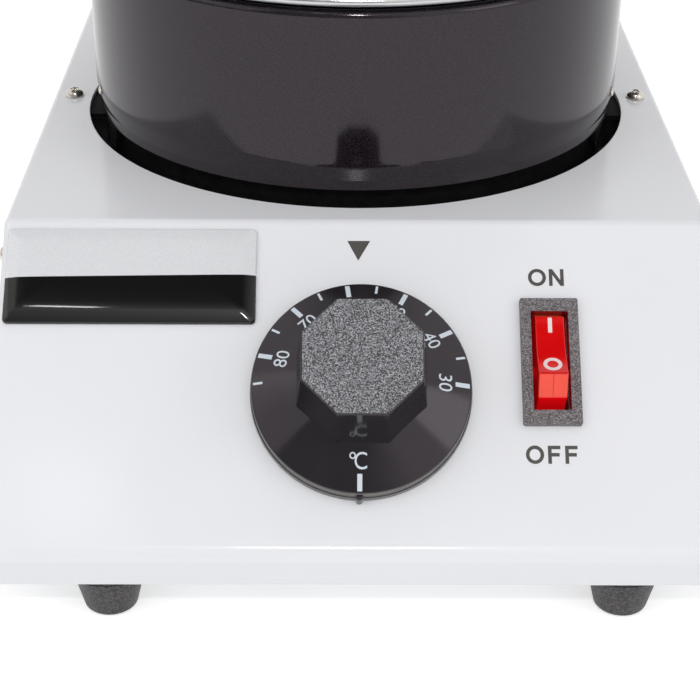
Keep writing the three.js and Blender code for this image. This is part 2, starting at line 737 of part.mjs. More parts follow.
// Thermostat on the back of the sloped front, its spindle, and the dial on the spindle
function addThermostat() {
  const backFace = -sheet - seatGap;
  const body = block(
    -thermostatWidth / 2, thermostatWidth / 2, -thermostatLength / 2, thermostatLength / 2,
    backFace - thermostatDepth, backFace,
  );
  const boss = bar(thermostatBoss, backFace - seatGap, -seatGap, smallSides * 2);
  const spindleHole = bar(spindleCollar, backFace - thermostatDepth / 2, overrun, smallSides * 2);
  const screwBores = () => [-1, 1].map((side) => (
    bar(plateScrew.shank + boreGap, backFace - plateScrew.reach - boreGap, overrun)
      .translate(side * plateScrewSpread / 2, 0, 0)
  ));
  const carried = new THREE.Group();
  carried.position.set(dialAcross, -dialDown, 0);
  front.add(carried);
  add('thermostat_body', cut(join(body, boss), spindleHole, ...screwBores()), 'greyPlastic', carried);
  const spindleFoot = backFace - thermostatDepth / 2 + seatGap;
  const spindle = join(
    bar(spindleRadius, spindleFoot, spindleReach, smallSides * 2),
    bar(spindleCollar - boreGap, spindleFoot, spindleFoot + thermostatDepth / 4, smallSides * 2),
  );
  add('thermostat_spindle', spindle, 'brass', carried);
  for (const [hand, side] of [['left', -1], ['right', 1]]) {
    const through = 2 * seatGap + sheet + plateScrew.reach;
    const screw = panScrew(plateScrew, through).translate(side * plateScrewSpread / 2, 0, seatGap);
    add(`thermostat_screw_${hand}`, screw, 'nickel', carried);
  }

  const coneTop = dialRimTop + dialConeRise;
  const coneRadius = gripBase / 2;
  const hub = spindleRadius + boreGap;
  const rimRadius = dialRadius - dialDraft;
  const rimInner = rimRadius - dialRimWall;
  const hubWall = spindleCollar + dialSkin;
  const underRim = dialRimTop - dialSkin;
  const disc = spun([
    [hub, dialFloat], [hubWall, dialFloat], [hubWall, underRim], [rimInner, underRim], [rimInner, dialFloat],
    [dialRadius, dialFloat], [rimRadius, dialRimTop - dialRimRound], [rimRadius - dialRimRound, dialRimTop],
    [coneRadius, coneTop], [hub, coneTop],
  ]);
  const corner = Math.cos(Math.PI / gripSides);
  const frustum = (across0, across1, z0, z1) => (
    new THREE.CylinderGeometry(across1 / 2 / corner, across0 / 2 / corner, z1 - z0, gripSides)
      .rotateX(quarter).rotateZ(Math.PI / gripSides).translate(0, 0, (z0 + z1) / 2)
  );
  const grip = frustum(gripBase, gripTop, dialRimTop, gripHeight - gripBevel);
  const ease = frustum(gripTop, gripTop - 2 * gripBevel, gripHeight - gripBevel, gripHeight);
  const nub = bar(nubRadius, dialFloat, dialRimTop - dialRimRound, gripSides).translate(0, -dialRadius, 0);
  const spindleBore = bar(hub, 0, spindleReach + seatGap, smallSides * 2);
  add('control_dial', cut(join(disc, grip, ease, nub), spindleBore), 'blackPlastic', carried);
}

// Rocker switch: housing snapped into the front, the lit rocker on its pin, and its terminals
function addSwitch() {
  const carried = new THREE.Group();
  carried.position.set(switchAcross, -switchDown, 0);
  front.add(carried);
  const bezel = plate(bezelWidth, bezelLength, bezelHeight, bezelCorner).translate(0, 0, seatGap);
  const body = plate(switchBodyWidth, switchBodyLength, switchBodyDepth + 2 * seatGap, bezelCorner)
    .translate(0, 0, -switchBodyDepth);
  const mouth = block(
    -mouthWidth / 2, mouthWidth / 2, -mouthLength / 2, mouthLength / 2, -switchFloor, bezelHeight + overrun,
  );
  const cavityHalf = switchBodyLength / 2 - switchWall;
  const cavity = block(
    -mouthWidth / 2, mouthWidth / 2, -cavityHalf, cavityHalf, -switchBodyDepth + switchFloor, -seatGap,
  );
  const pinHole = bar(rockerPin + boreGap, -switchBodyWidth, switchBodyWidth)
    .rotateY(quarter).translate(0, 0, -rockerPivotDepth);
  add('switch_housing', cut(join(body, bezel), mouth, cavity, pinHole), 'greyPlastic', carried);

  // The rocker's side view about its pin, with its hollow face on top
  const ridge = rockerHalf * rockerShares.ridge;
  const skirt = rockerHalf * rockerShares.skirt;
  const toe = rockerHalf * rockerShares.toe;
  const face = new THREE.Shape();
  face.moveTo(-toe, -rockerToeDrop);
  face.lineTo(toe, -rockerToeDrop);
  face.lineTo(skirt, rockerSkirtRise);
  face.lineTo(rockerHalf, rockerShoulderRise);
  face.lineTo(ridge, rockerRidgeRise);
  const faceSteps = 6;
  for (let i = 1; i <= faceSteps; i += 1) {
    const share = 1 - 2 * (i / faceSteps);
    face.lineTo(ridge * share, rockerRidgeRise - rockerSag * (1 - share * share));
  }
  face.lineTo(-rockerHalf, rockerShoulderRise);
  face.lineTo(-skirt, rockerSkirtRise);
  const cap = new THREE.ExtrudeGeometry(face, { depth: rockerWidth, bevelEnabled: false });
  cap.rotateX(quarter).rotateZ(quarter).translate(-rockerWidth / 2, 0, 0);
  const pin = bar(rockerPin, -switchBodyWidth / 2 + boreGap, switchBodyWidth / 2 - boreGap).rotateY(quarter);
  const rocker = add('rocker', join(cap, pin), 'redLens', carried);
  rocker.position.z = -rockerPivotDepth;
  rocker.rotation.x = -THREE.MathUtils.degToRad(rockerOnTilt);

  for (const step of [-1, 0, 1]) {
    const blade = block(
      -terminalWidth / 2, terminalWidth / 2, -terminalThickness / 2, terminalThickness / 2,
      -terminalLength, 0,
    );
    blade.translate(0, step * terminalPitch, -switchBodyDepth - seatGap);
    add(`switch_terminal_${step + 2}`, blade, 'brass', carried);
  }
}

// Badge plate stuck to the front, upper left corner
function addBadge() {
  const badge = plate(badgeLength, badgeWidth, badgeThickness, badgeCorner, badgeBevel);
  badge.translate(badgeStart + badgeLength / 2, -badgeDown - badgeWidth / 2, seatGap);
  add('badge_plate', badge, 'badgeSilver', front);
}

// Power inlet in the back panel, with its three blades and two screws
function addInlet() {
  const flange = plate(inletFlangeWidth, inletFlangeHeight, inletFlangeThickness, inletFlangeCorner);
  const depth = inletSocketDepth + inletFloor;
  const body = block(
    -inletBodyWidth / 2, inletBodyWidth / 2, -inletBodyHeight / 2, inletBodyHeight / 2,
    inletFlangeThickness - depth, inletFlangeThickness / 2,
  );
  const socket = block(
    -inletSocketWidth / 2, inletSocketWidth / 2, -inletSocketHeight / 2, inletSocketHeight / 2,
    inletFlangeThickness - inletSocketDepth, inletFlangeThickness + overrun,
  );
  const pinPlaces = [
    ['live', -pinSpread / 2, pinStep / 2],
    ['neutral', pinSpread / 2, pinStep / 2],
    ['earth', 0, -pinStep / 2],
  ];
  const blade = (grow) => pinPlaces.map(([, x, y]) => (
    block(
      -pinWidth / 2 - grow, pinWidth / 2 + grow, -pinHeight / 2 - grow, pinHeight / 2 + grow,
      inletFlangeThickness - depth - pinTail, inletFlangeThickness - pinRecess,
    ).translate(x, y, 0)
  ));
  const screwPlaces = [['left', -1], ['right', 1]];
  const sinks = screwPlaces.map(([, side]) => spun([
    [0, -overrun], [inletScrew.shank + boreGap, -overrun],
    [inletScrew.shank + boreGap, inletFlangeThickness - inletScrew.headHeight],
    [inletScrew.head + boreGap, inletFlangeThickness], [inletScrew.head + boreGap, overrun + overrun],
    [0, overrun + overrun],
  ], smallSides).translate(side * inletScrewSpread / 2, 0, 0));

  const carried = new THREE.Group();
  carried.position.set(inletAcross, rearY + seatGap, inletZ);
  carried.rotation.set(quarter, 2 * quarter, 0);
  melter.add(carried);
  add('power_inlet', cut(join(flange, body), socket, ...blade(boreGap), ...sinks), 'blackPlastic', carried);
  const blades = blade(0);
  pinPlaces.forEach(([kind], i) => add(`inlet_blade_${kind}`, blades[i], 'nickel', carried));
  for (const [hand, side] of screwPlaces) {
    const through = inletFlangeThickness + seatGap + sheet + inletScrew.reach;
    const screw = sunkScrew(inletScrew, through)
      .translate(side * inletScrewSpread / 2, 0, inletFlangeThickness);
    add(`inlet_screw_${hand}`, screw, 'nickel', carried);
  }
}

function tubeAlong(points, radius) {
  const section = new THREE.Shape();
  for (let i = 0; i < leadSides; i += 1) {
    const angle = 4 * quarter * (i / leadSides);
    if (i === 0) section.moveTo(radius * Math.cos(angle), radius * Math.sin(angle));
    else section.lineTo(radius * Math.cos(angle), radius * Math.sin(angle));
  }
  const extrudePath = new THREE.CatmullRomCurve3(points, false, 'centripetal');
  return new THREE.ExtrudeGeometry(section, { steps: leadSteps, bevelEnabled: false, extrudePath });
}

// Sensor bulb clipped under the well, its capillary tube to the thermostat, and the leads
function addSensorAndLeads() {
  const at = (x, y, z) => new THREE.Vector3(x, y, z);
  const bulb = bar(bulbRadius, -bulbLength / 2, bulbLength / 2).rotateX(quarter);
  add('sensor_bulb', bulb.translate(0, openingY, bulbZ), 'copper');

  const saddle = bulbRadius + seatGap;
  const saddleTop = wellFloor - seatGap;
  const wing = saddle + clipSheet + clipWing;
  const clip = new THREE.Shape();
  clip.moveTo(wing, saddleTop);
  clip.lineTo(saddle, saddleTop);
  clip.absarc(0, bulbZ, saddle, 0, -2 * quarter, true);
  clip.lineTo(-saddle, saddleTop);
  clip.lineTo(-wing, saddleTop);
  clip.lineTo(-wing, saddleTop - clipSheet);
  clip.lineTo(-saddle - clipSheet, saddleTop - clipSheet);
  clip.absarc(0, bulbZ, saddle + clipSheet, -2 * quarter, 0, false);
  clip.lineTo(saddle + clipSheet, saddleTop - clipSheet);
  clip.lineTo(wing, saddleTop - clipSheet);
  const strap = new THREE.ExtrudeGeometry(clip, { depth: clipLength, bevelEnabled: false, curveSegments: 6 });
  strap.rotateX(quarter).translate(0, openingY + clipLength / 2, 0);
  add('bulb_clip', strap, 'steel');

  const thermostatBack = -sheet - seatGap - thermostatDepth - seatGap;
  const backExit = (across, down) => panelPoint(dialAcross + across, dialDown + down, thermostatBack);
  const backStep = (across, down) => (
    panelPoint(dialAcross + across, dialDown + down, thermostatBack - leadFloorRise)
  );
  const runZ = floorTopZ + leadFloorRise;
  const bulbFront = openingY - bulbLength / 2;
  const portDrop = thermostatLength / 6;

  add('capillary_tube', tidy(tubeAlong([
    at(0, bulbFront - seatGap, bulbZ), at(0, bulbFront - bulbLength / 5, bulbZ),
    at(0, bulbFront - bulbLength / 2, (bulbZ + runZ) / 2), backStep(0, -portDrop), backExit(0, -portDrop),
  ], capillaryRadius)), 'copper');

  const bladeEnd = (step) => panelPoint(
    switchAcross, switchDown - step * terminalPitch, -switchBodyDepth - 2 * seatGap - terminalLength,
  );
  const bladeStep = (step) => panelPoint(
    switchAcross, switchDown - step * terminalPitch,
    -switchBodyDepth - 2 * seatGap - terminalLength - leadFloorRise / 2,
  );
  const tail = (x, z) => at(inletAcross + x, pinTailY - seatGap, inletZ + z);
  const tailStep = (x, z) => at(inletAcross + x, pinTailY - leadFloorRise, inletZ + z);
  const liveX = pinSpread / 2;

  const lowBlade = bladeStep(-1);
  add('lead_live', tidy(tubeAlong([
    tail(liveX, pinStep / 2), tailStep(liveX, pinStep / 2),
    at(inletAcross + liveX, openingY + wellRadius / 2, runZ),
    at(inletAcross + liveX, bendY, runZ), at(lowBlade.x, lowBlade.y + leadFloorRise * 2, runZ),
    lowBlade, bladeEnd(-1),
  ], leadRadius)), 'silicone');

  const midBlade = bladeStep(0);
  const sideOfBody = panelPoint(
    dialAcross + thermostatWidth / 2 + seatGap, dialDown, -sheet - seatGap - thermostatDepth / 2,
  );
  const besideBody = sideOfBody.clone().setX(sideOfBody.x + leadFloorRise);
  add('lead_switched', tidy(tubeAlong([
    bladeEnd(0), midBlade, at(midBlade.x - switchBodyWidth, midBlade.y + leadFloorRise, midBlade.z),
    besideBody, sideOfBody,
  ], leadRadius)), 'silicone');

  const heaterMid = wellRadius + seatGap + leadRadius + seatGap;
  const heaterTailX = heaterSplit / 2 + 2 * leadRadius;
  const heaterTailY = openingY + Math.sqrt(heaterMid * heaterMid - heaterTailX * heaterTailX);
  const heaterTailZ = wellFloor + heaterRise - seatGap;
  const besideBulb = wing + 3 * leadFloorRise;
  add('lead_heater', tidy(tubeAlong([
    backExit(-thermostatWidth / 3, portDrop), backStep(-thermostatWidth / 3, portDrop),
    at(-besideBulb, openingY - wellRadius, runZ), at(-besideBulb, openingY + wellRadius / 2, runZ),
    at(-heaterTailX, heaterTailY - leadFloorRise, (runZ + wellFloor) / 2),
    at(-heaterTailX, heaterTailY, wellFloor), at(-heaterTailX, heaterTailY, heaterTailZ),
  ], leadRadius)), 'silicone');

  add('lead_neutral', tidy(tubeAlong([
    tail(-liveX, pinStep / 2), tailStep(-liveX, pinStep / 2),
    at((heaterTailX + inletAcross - liveX) / 2, heaterTailY - 2 * leadFloorRise, (runZ + wellFloor) / 2),
    at(heaterTailX, heaterTailY - leadFloorRise / 2, wellFloor - leadFloorRise),
    at(heaterTailX, heaterTailY, wellFloor + leadRadius), at(heaterTailX, heaterTailY, heaterTailZ),
  ], leadRadius)), 'silicone');

  const studX = inletAcross;
  const studY = pinTailY - earthStudReach;
  add('lead_earth', tidy(tubeAlong([
    tail(0, -pinStep / 2), tailStep(0, -pinStep / 2),
    at(studX, studY + leadFloorRise, runZ + leadFloorRise), at(studX, studY, floorTopZ + leadFloorRise / 2),
    at(studX, studY, floorTopZ + seatGap),
  ], leadRadius)), 'silicone');
}

addHousing();
addFeet();
addJacket();
addWell();
addPan();
addLid();
addThermostat();
addSwitch();
addBadge();
addInlet();
addSensorAndLeads();

export default melter;
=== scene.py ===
import math

import bmesh
import bpy
from mathutils import Matrix, Vector


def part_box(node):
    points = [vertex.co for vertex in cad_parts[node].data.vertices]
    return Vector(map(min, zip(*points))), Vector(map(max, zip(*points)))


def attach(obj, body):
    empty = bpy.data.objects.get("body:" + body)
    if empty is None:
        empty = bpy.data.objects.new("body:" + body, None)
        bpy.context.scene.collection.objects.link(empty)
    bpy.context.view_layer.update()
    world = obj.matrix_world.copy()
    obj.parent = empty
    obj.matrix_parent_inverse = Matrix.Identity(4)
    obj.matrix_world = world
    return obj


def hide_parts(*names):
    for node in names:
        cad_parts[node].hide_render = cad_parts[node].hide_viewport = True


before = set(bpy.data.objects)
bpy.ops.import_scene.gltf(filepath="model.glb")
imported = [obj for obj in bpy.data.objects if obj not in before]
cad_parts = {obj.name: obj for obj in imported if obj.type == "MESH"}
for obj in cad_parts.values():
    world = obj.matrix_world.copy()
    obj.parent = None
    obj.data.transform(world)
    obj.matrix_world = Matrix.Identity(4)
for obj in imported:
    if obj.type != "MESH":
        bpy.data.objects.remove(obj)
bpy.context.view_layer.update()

# The view: a short tele lens close in front of the pot and above it, looking down by 29 degrees.
# It stands where the photograph was taken, so the upright sides lean inwards towards the bottom.
view = bpy.data.cameras.new("view")
view.sensor_width = 36
view.lens = 88.81
view.clip_start = 0.02
camera = bpy.data.objects.new("camera", view)
bpy.context.scene.collection.objects.link(camera)
camera.location = (-0.004815, -0.445338, 0.255969)
camera.rotation_euler = (1.0616944, -0.0059026, -0.0045971)
bpy.context.scene.camera = camera
bpy.context.scene.view_settings.view_transform = "Standard"


# The room: a pale worktop under the pot and a white room round it. The worktop keeps a soft
# shadow, and both look white only to the camera and in reflections, so the light stays plain. The
# room lights more strongly from the front, and mirrors darker on the left and straight overhead.
def deselect():
    bpy.ops.object.select_all(action="DESELECT")


def new_material(name):
    material = bpy.data.materials.new(name)
    material.use_nodes = True
    return material


def paired(tree, operation, first, second):
    both = tree.nodes.new("ShaderNodeMath")
    both.operation = operation
    tree.links.new(first, both.inputs[0])
    tree.links.new(second, both.inputs[1])
    return both.outputs[0]


def seen_or_mirrored(tree):
    path = tree.nodes.new("ShaderNodeLightPath")
    seen = paired(tree, "MAXIMUM", path.outputs["Is Camera Ray"], path.outputs["Is Glossy Ray"])
    return paired(tree, "MAXIMUM", seen, path.outputs["Is Transmission Ray"])


def between(tree, amount, low, high, start=0.3, stop=0.7):
    spread = tree.nodes.new("ShaderNodeMapRange")
    ends = {"From Min": start, "From Max": stop, "To Min": low, "To Max": high}
    for socket, value in ends.items():
        spread.inputs[socket].default_value = value
    tree.links.new(amount, spread.inputs["Value"])
    return spread.outputs["Result"]


def shaded(tree, amount, dark, light):
    mix = tree.nodes.new("ShaderNodeMix")
    mix.data_type = "RGBA"
    tree.links.new(amount, mix.inputs[0])
    for socket, colour in ((mix.inputs[6], dark), (mix.inputs[7], light)):
        if isinstance(colour, tuple):
            socket.default_value = (*colour, 1)
        else:
            tree.links.new(colour, socket)
    return mix.outputs[2]


def facing(tree, way, begins, full, low=0.0, high=1.0):
    """How far a ray looks towards one side of the room, eased in between two cosines."""
    side = tree.nodes.new("ShaderNodeVectorMath")
    side.operation = "DOT_PRODUCT"
    side.inputs[1].default_value = way
    tree.links.new(tree.nodes.new("ShaderNodeTexCoord").outputs["Generated"], side.inputs[0])
    amount = between(tree, side.outputs["Value"], low, high, begins, full)
    amount.node.interpolation_type = "SMOOTHSTEP"
    return amount


worktop_size, worktop_cuts = 6, 5
worktop_lift = 0.50
worktop_colour = (0.86, 0.86, 0.86, 1)
deselect()
bpy.ops.mesh.primitive_plane_add(size=worktop_size)
worktop = bpy.context.object
worktop.name = "worktop"
bpy.ops.object.mode_set(mode="EDIT")
bpy.ops.mesh.subdivide(number_cuts=worktop_cuts)
bpy.ops.object.mode_set(mode="OBJECT")
laminate = new_material("laminate")
tree = laminate.node_tree
tree.nodes.clear()
matt = tree.nodes.new("ShaderNodeBsdfDiffuse")
matt.inputs["Color"].default_value = worktop_colour
lift = tree.nodes.new("ShaderNodeEmission")
lift.inputs["Color"].default_value = (1, 1, 1, 1)
strength = tree.nodes.new("ShaderNodeMath")
strength.operation = "MULTIPLY"
strength.inputs[1].default_value = worktop_lift
tree.links.new(seen_or_mirrored(tree), strength.inputs[0])
tree.links.new(strength.outputs[0], lift.inputs["Strength"])
both = tree.nodes.new("ShaderNodeAddShader")
tree.links.new(matt.outputs[0], both.inputs[0])
tree.links.new(lift.outputs[0], both.inputs[1])
out = tree.nodes.new("ShaderNodeOutputMaterial")
tree.links.new(both.outputs[0], out.inputs["Surface"])
worktop.data.materials.append(laminate)

room_light, front_light = 0.45, 0.98
room_colour = (0.985, 0.985, 1.0, 1)
front_way, front_begins, front_full = (0, -0.788, 0.616), 0.3, 0.95
# Each dim side: the way to it, the cosines at which it begins and is full, and its grey.
dim_sides = [((-0.5592, -0.829, 0), 0.40, 0.80, 0.3), ((0, 0, 1), 0.80, 0.93, 0.05)]
room = bpy.data.worlds.new("room")
room.use_nodes = True
bpy.context.scene.world = room
tree = room.node_tree
tree.nodes.clear()
lighting = tree.nodes.new("ShaderNodeBackground")
lighting.inputs["Color"].default_value = room_colour
from_front = facing(tree, front_way, front_begins, front_full, room_light, front_light)
tree.links.new(from_front, lighting.inputs["Strength"])
seen = tree.nodes.new("ShaderNodeBackground")
seen.inputs["Strength"].default_value = 1.0
shade = (1, 1, 1)
for way, begins, full, grey in dim_sides:
    glossy = tree.nodes.new("ShaderNodeLightPath").outputs["Is Glossy Ray"]
    mirrored = paired(tree, "MULTIPLY", facing(tree, way, begins, full), glossy)
    shade = shaded(tree, mirrored, shade, (grey, grey, grey))
tree.links.new(shade, seen.inputs["Color"])
which = tree.nodes.new("ShaderNodeMixShader")
tree.links.new(seen_or_mirrored(tree), which.inputs[0])
tree.links.new(lighting.outputs[0], which.inputs[1])
tree.links.new(seen.outputs[0], which.inputs[2])
out = tree.nodes.new("ShaderNodeOutputWorld")
tree.links.new(which.outputs[0], out.inputs["Surface"])


# The lamps: a small soft box stands over the camera and two larger ones left and right of it. A
# small one behind lights the deck, and a narrow one puts the streak on the badge.
lamp_aim = Vector((0, -0.05, 0.06))


def soft_box(name, place, width, height, power):
    lamp = bpy.data.lights.new(name, "AREA")
    lamp.shape = "RECTANGLE"
    lamp.size = width
    lamp.size_y = height
    lamp.energy = power
    box = bpy.data.objects.new(name, lamp)
    bpy.context.scene.collection.objects.link(box)
    box.location = place
    box.rotation_euler = (lamp_aim - Vector(place)).to_track_quat("-Z", "Y").to_euler()


soft_box("front_box", (0.0, -0.92, 0.91), 0.1, 0.06, 2.5)
soft_box("left_box", (-1.4, -0.8, 1.0), 1.1, 1.1, 2.5)
soft_box("right_box", (1.38, -0.86, 0.9), 0.72, 0.72, 2.2)
soft_box("rear_box", (0.0, 0.45, 1.25), 0.07, 0.07, 0.4)
soft_box("streak_box", (-0.275, -0.69, 1.2), 0.07, 0.018, 0.08)


# Cover: one piece of 1.2 mm sheet steel folded into the deck, the sloped front with its lip and
# the two sides, holes punched first, then coated white. Screws through the sides hold it.
def at(x, y, z):
    return Matrix.Translation((x, y, z))


slope_run, slope_rise = 0.0634, 0.0555
tilt = math.atan2(slope_rise, slope_run)
bend_y, deck_z = -0.05715, 0.0758
sheet_thickness = 0.0012
bend_radius, lip_radius, side_radius = 0.0032, 0.0052, 0.0018
flange_wide, flange_y, flange_low, flange_clear = 0.011, 0.11635, 0.0135, 0.0006
opening_radius, opening_y, opening_ease = 0.07615, 0.02705, 0.0004
over_opening = at(0, opening_y, 0)
on_slope = at(0, bend_y, deck_z) @ Matrix.Rotation(tilt, 4, "X")
sideways = Matrix.Rotation(math.pi / 2, 4, "Y")
hands = (("left", -1), ("right", 1))
corners = [(end, hand) for end in ("front", "rear") for hand in ("left", "right")]
back_corners = [(level, hand) for level in ("lower", "upper") for hand in ("left", "right")]


def at_slope(across, down, out=0.0):
    return on_slope @ at(across, -down, out)


def centre_of(node):
    start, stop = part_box(node)
    return (start + stop) / 2


def alone(piece):
    deselect()
    piece.select_set(True)
    bpy.context.view_layer.objects.active = piece


def worked(piece, kind, **settings):
    alone(piece)
    tool = piece.modifiers.new(kind.lower(), kind)
    for name, value in settings.items():
        setattr(tool, name, value)
    bpy.ops.object.modifier_apply(modifier=tool.name)


def edit(piece):
    alone(piece)
    bpy.ops.object.mode_set(mode="EDIT")
    bpy.context.tool_settings.mesh_select_mode = (True, False, False)
    bpy.ops.mesh.select_all(action="DESELECT")


def done():
    bpy.ops.object.mode_set(mode="OBJECT")


def all_of_it():
    bpy.ops.mesh.select_all(action="SELECT")


def pick(piece, kind, wanted):
    bpy.ops.mesh.select_all(action="DESELECT")
    bpy.context.tool_settings.mesh_select_mode = (False, kind == "edges", kind == "faces")
    mesh = bmesh.from_edit_mesh(piece.data)
    for part in getattr(mesh, kind):
        if wanted(part):
            part.select_set(True)
    bmesh.update_edit_mesh(piece.data)


def pull(step):
    bpy.ops.mesh.extrude_region_move(TRANSFORM_OT_translate={"value": step})


def outwards():
    all_of_it()
    bpy.ops.mesh.normals_make_consistent(inside=False)
    done()


def named(name):
    piece = bpy.context.object
    piece.name = piece.data.name = name
    return piece


def new_block(name, low, high):
    deselect()
    low, high = Vector(low), Vector(high)
    bpy.ops.mesh.primitive_cube_add(size=1, location=(low + high) / 2, scale=high - low)
    bpy.ops.object.transform_apply(location=True, rotation=True, scale=True)
    return named(name)


def rounded(corners, steps, loop=False):
    path = []
    last = len(corners) - 1
    for i, (x, y, radius) in enumerate(corners):
        here = Vector((x, y))
        if radius == 0 or (not loop and i in (0, last)):
            path.append((x, y))
            continue
        back = (Vector(corners[i - 1][:2]) - here).normalized()
        ahead = (Vector(corners[(i + 1) % len(corners)][:2]) - here).normalized()
        half = back.angle(ahead) / 2
        middle = here + (back + ahead).normalized() * radius / math.sin(half)
        arm = here + back * radius / math.tan(half) - middle
        turn = math.pi - 2 * half
        side = 1 if back.x * ahead.y - back.y * ahead.x < 0 else -1
        for step in range(steps + 1):
            path.append(tuple(middle + Matrix.Rotation(side * turn * step / steps, 2) @ arm))
    return path


def oblong(width, length, radius, steps):
    w, l = width / 2, length / 2
    return rounded([(x, y, radius) for x, y in ((w, -l), (w, l), (-w, l), (-w, -l))], steps, True)


def drawn(name, path):
    deselect()
    bpy.ops.mesh.primitive_plane_add(size=0.001)
    piece = named(name)
    edit(piece)
    all_of_it()
    bpy.ops.mesh.merge(type="CENTER")
    bpy.ops.transform.translate(value=path[0])
    for here, there in zip(path, path[1:]):
        pull(tuple(b - a for a, b in zip(here, there)))
    all_of_it()
    return piece


def turned(name, profile, sides, loop=False):
    path = [(r, 0, z) for r, z in profile]
    piece = drawn(name, path + path[:1] if loop else path)
    bpy.ops.mesh.spin(steps=sides, angle=2 * math.pi, center=(0, 0, 0), axis=(0, 0, 1))
    all_of_it()
    bpy.ops.mesh.remove_doubles(threshold=1e-6)
    outwards()
    return piece


def rod(name, radius, low, high, sides=32):
    return turned(name, [(0, low), (radius, low), (radius, high), (0, high)], sides)


def slab(name, outline, low, high):
    piece = drawn(name, [(x, y, low) for x, y in outline])
    bpy.ops.mesh.edge_face_add()
    all_of_it()
    pull((0, 0, high - low))
    outwards()
    return piece


def moved(piece, matrix):
    piece.data.transform(matrix)
    if matrix.determinant() < 0:
        piece.data.flip_normals()
    return piece


def joined(first, *others):
    alone(first)
    for piece in others:
        piece.select_set(True)
    bpy.ops.object.join()
    return first


def fused(piece, other):
    worked(piece, "BOOLEAN", operation="UNION", object=other, solver="EXACT")
    bpy.data.objects.remove(other)


def cut_with(piece, cutter):
    worked(piece, "BOOLEAN", operation="DIFFERENCE", object=cutter, solver="EXACT")
    bpy.data.objects.remove(cutter)


def smoothed(piece, degrees=35, weighted=True):
    alone(piece)
    bpy.ops.object.shade_smooth_by_angle(angle=math.radians(degrees))
    if weighted:
        worked(piece, "WEIGHTED_NORMAL", keep_sharp=True, weight=80)


def on_piece(tree):
    return tree.nodes.new("ShaderNodeTexCoord").outputs["Object"]


def noise(tree, scale, detail, coordinates):
    cloud = tree.nodes.new("ShaderNodeTexNoise")
    cloud.inputs["Scale"].default_value = scale
    cloud.inputs["Detail"].default_value = detail
    tree.links.new(coordinates, cloud.inputs["Vector"])
    return cloud.outputs["Fac"]


def tuned(material, settings):
    for socket, value in settings.items():
        material.node_tree.nodes["Principled BSDF"].inputs[socket].default_value = value


def led(tree, value, socket):
    tree.links.new(value, tree.nodes["Principled BSDF"].inputs[socket])


def coloured(tree, amount, dark, light):
    led(tree, shaded(tree, amount, dark, light), "Base Color")


def embossed(tree, height, relief):
    bump = tree.nodes.new("ShaderNodeBump")
    bump.inputs["Strength"].default_value = 1.0
    bump.inputs["Distance"].default_value = relief
    tree.links.new(height, bump.inputs["Height"])
    led(tree, bump.outputs["Normal"], "Normal")


def finish(name, dark, light, rough, blotch, grain, relief, metallic=0.0):
    """A coated or moulded surface: slow clouding of colour and gloss, and a fine grain in relief."""
    material = new_material(name)
    tuned(material, {"Metallic": metallic})
    tree = material.node_tree
    place = on_piece(tree)
    cloud = noise(tree, blotch, 3, place)
    coloured(tree, between(tree, cloud, 0, 1), dark, light)
    led(tree, between(tree, cloud, *rough), "Roughness")
    embossed(tree, noise(tree, grain, 2, place), relief)
    return material


def coated(piece, material):
    piece.data.materials.clear()
    piece.data.materials.append(material)


def dressed(piece, material, body, slot, *nodes):
    coated(piece, material)
    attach(piece, body)
    if nodes:
        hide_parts(*nodes)


def bend_at(y, z):
    return lambda edge: all(abs(v.co.y - y) < 1e-5 and abs(v.co.z - z) < 1e-5 for v in edge.verts)


def side_bend(edge):
    leans = [abs(face.normal.x) for face in edge.link_faces]
    return len(leans) == 2 and max(leans) > 0.9 and min(leans) < 0.1


low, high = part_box("top_cover")
cover = new_block("cover", low, high)
edit(cover)
all_of_it()
bpy.ops.mesh.bisect(
    plane_co=(0, bend_y, deck_z), plane_no=(0, -math.sin(tilt), math.cos(tilt)),
    use_fill=True, clear_outer=True,
)
pick(cover, "faces", lambda f: f.normal.z < -0.9 or f.normal.y > 0.9)
bpy.ops.mesh.delete(type="FACE")
pick(cover, "edges", bend_at(bend_y, deck_z))
bpy.ops.mesh.bevel(offset=bend_radius * math.tan(tilt / 2), segments=8, profile=0.5)
pick(cover, "edges", bend_at(low.y, high.z - slope_rise))
lip_offset = lip_radius * math.tan((math.pi / 2 - tilt) / 2)
bpy.ops.mesh.bevel(offset=lip_offset, segments=10, profile=0.5)
pick(cover, "edges", side_bend)
bpy.ops.mesh.bevel(offset=side_radius, segments=6, profile=0.5)
done()
worked(cover, "SOLIDIFY", thickness=sheet_thickness, offset=-1, use_even_offset=True, use_rim=True)
for side in (-1, 1):
    near, far = sorted((side * (high.x - sheet_thickness / 2), side * (high.x - flange_wide)))
    foot_end, deck_end = flange_low, deck_z - flange_clear
    fused(cover, new_block(
        "flange", (near, flange_y - sheet_thickness, foot_end), (far, flange_y, deck_end),
    ))

opening = turned("opening_cutter", [
    (0, -0.01), (opening_radius, -0.01), (opening_radius, -opening_ease),
    (opening_radius + 0.3 * opening_ease, -0.3 * opening_ease), (opening_radius + opening_ease, 0),
    (opening_radius + opening_ease, 0.005), (0, 0.005),
], 256)
moved(opening, at(0, opening_y, deck_z))
punch_reach = 0.004
screw_hole, tapped_hole, spindle_hole = 0.0017, 0.00155, 0.0053
dial_place = at_slope(0.0007, 0.0448)
switch_place = at_slope(0.0461, 0.0370)
deck_screw_x, deck_screw_y = 0.08135, opening_y + 0.0015
plate_screw_x = 0.014


def punch(radius, place):
    return moved(rod("punch", radius, -punch_reach, punch_reach), place)


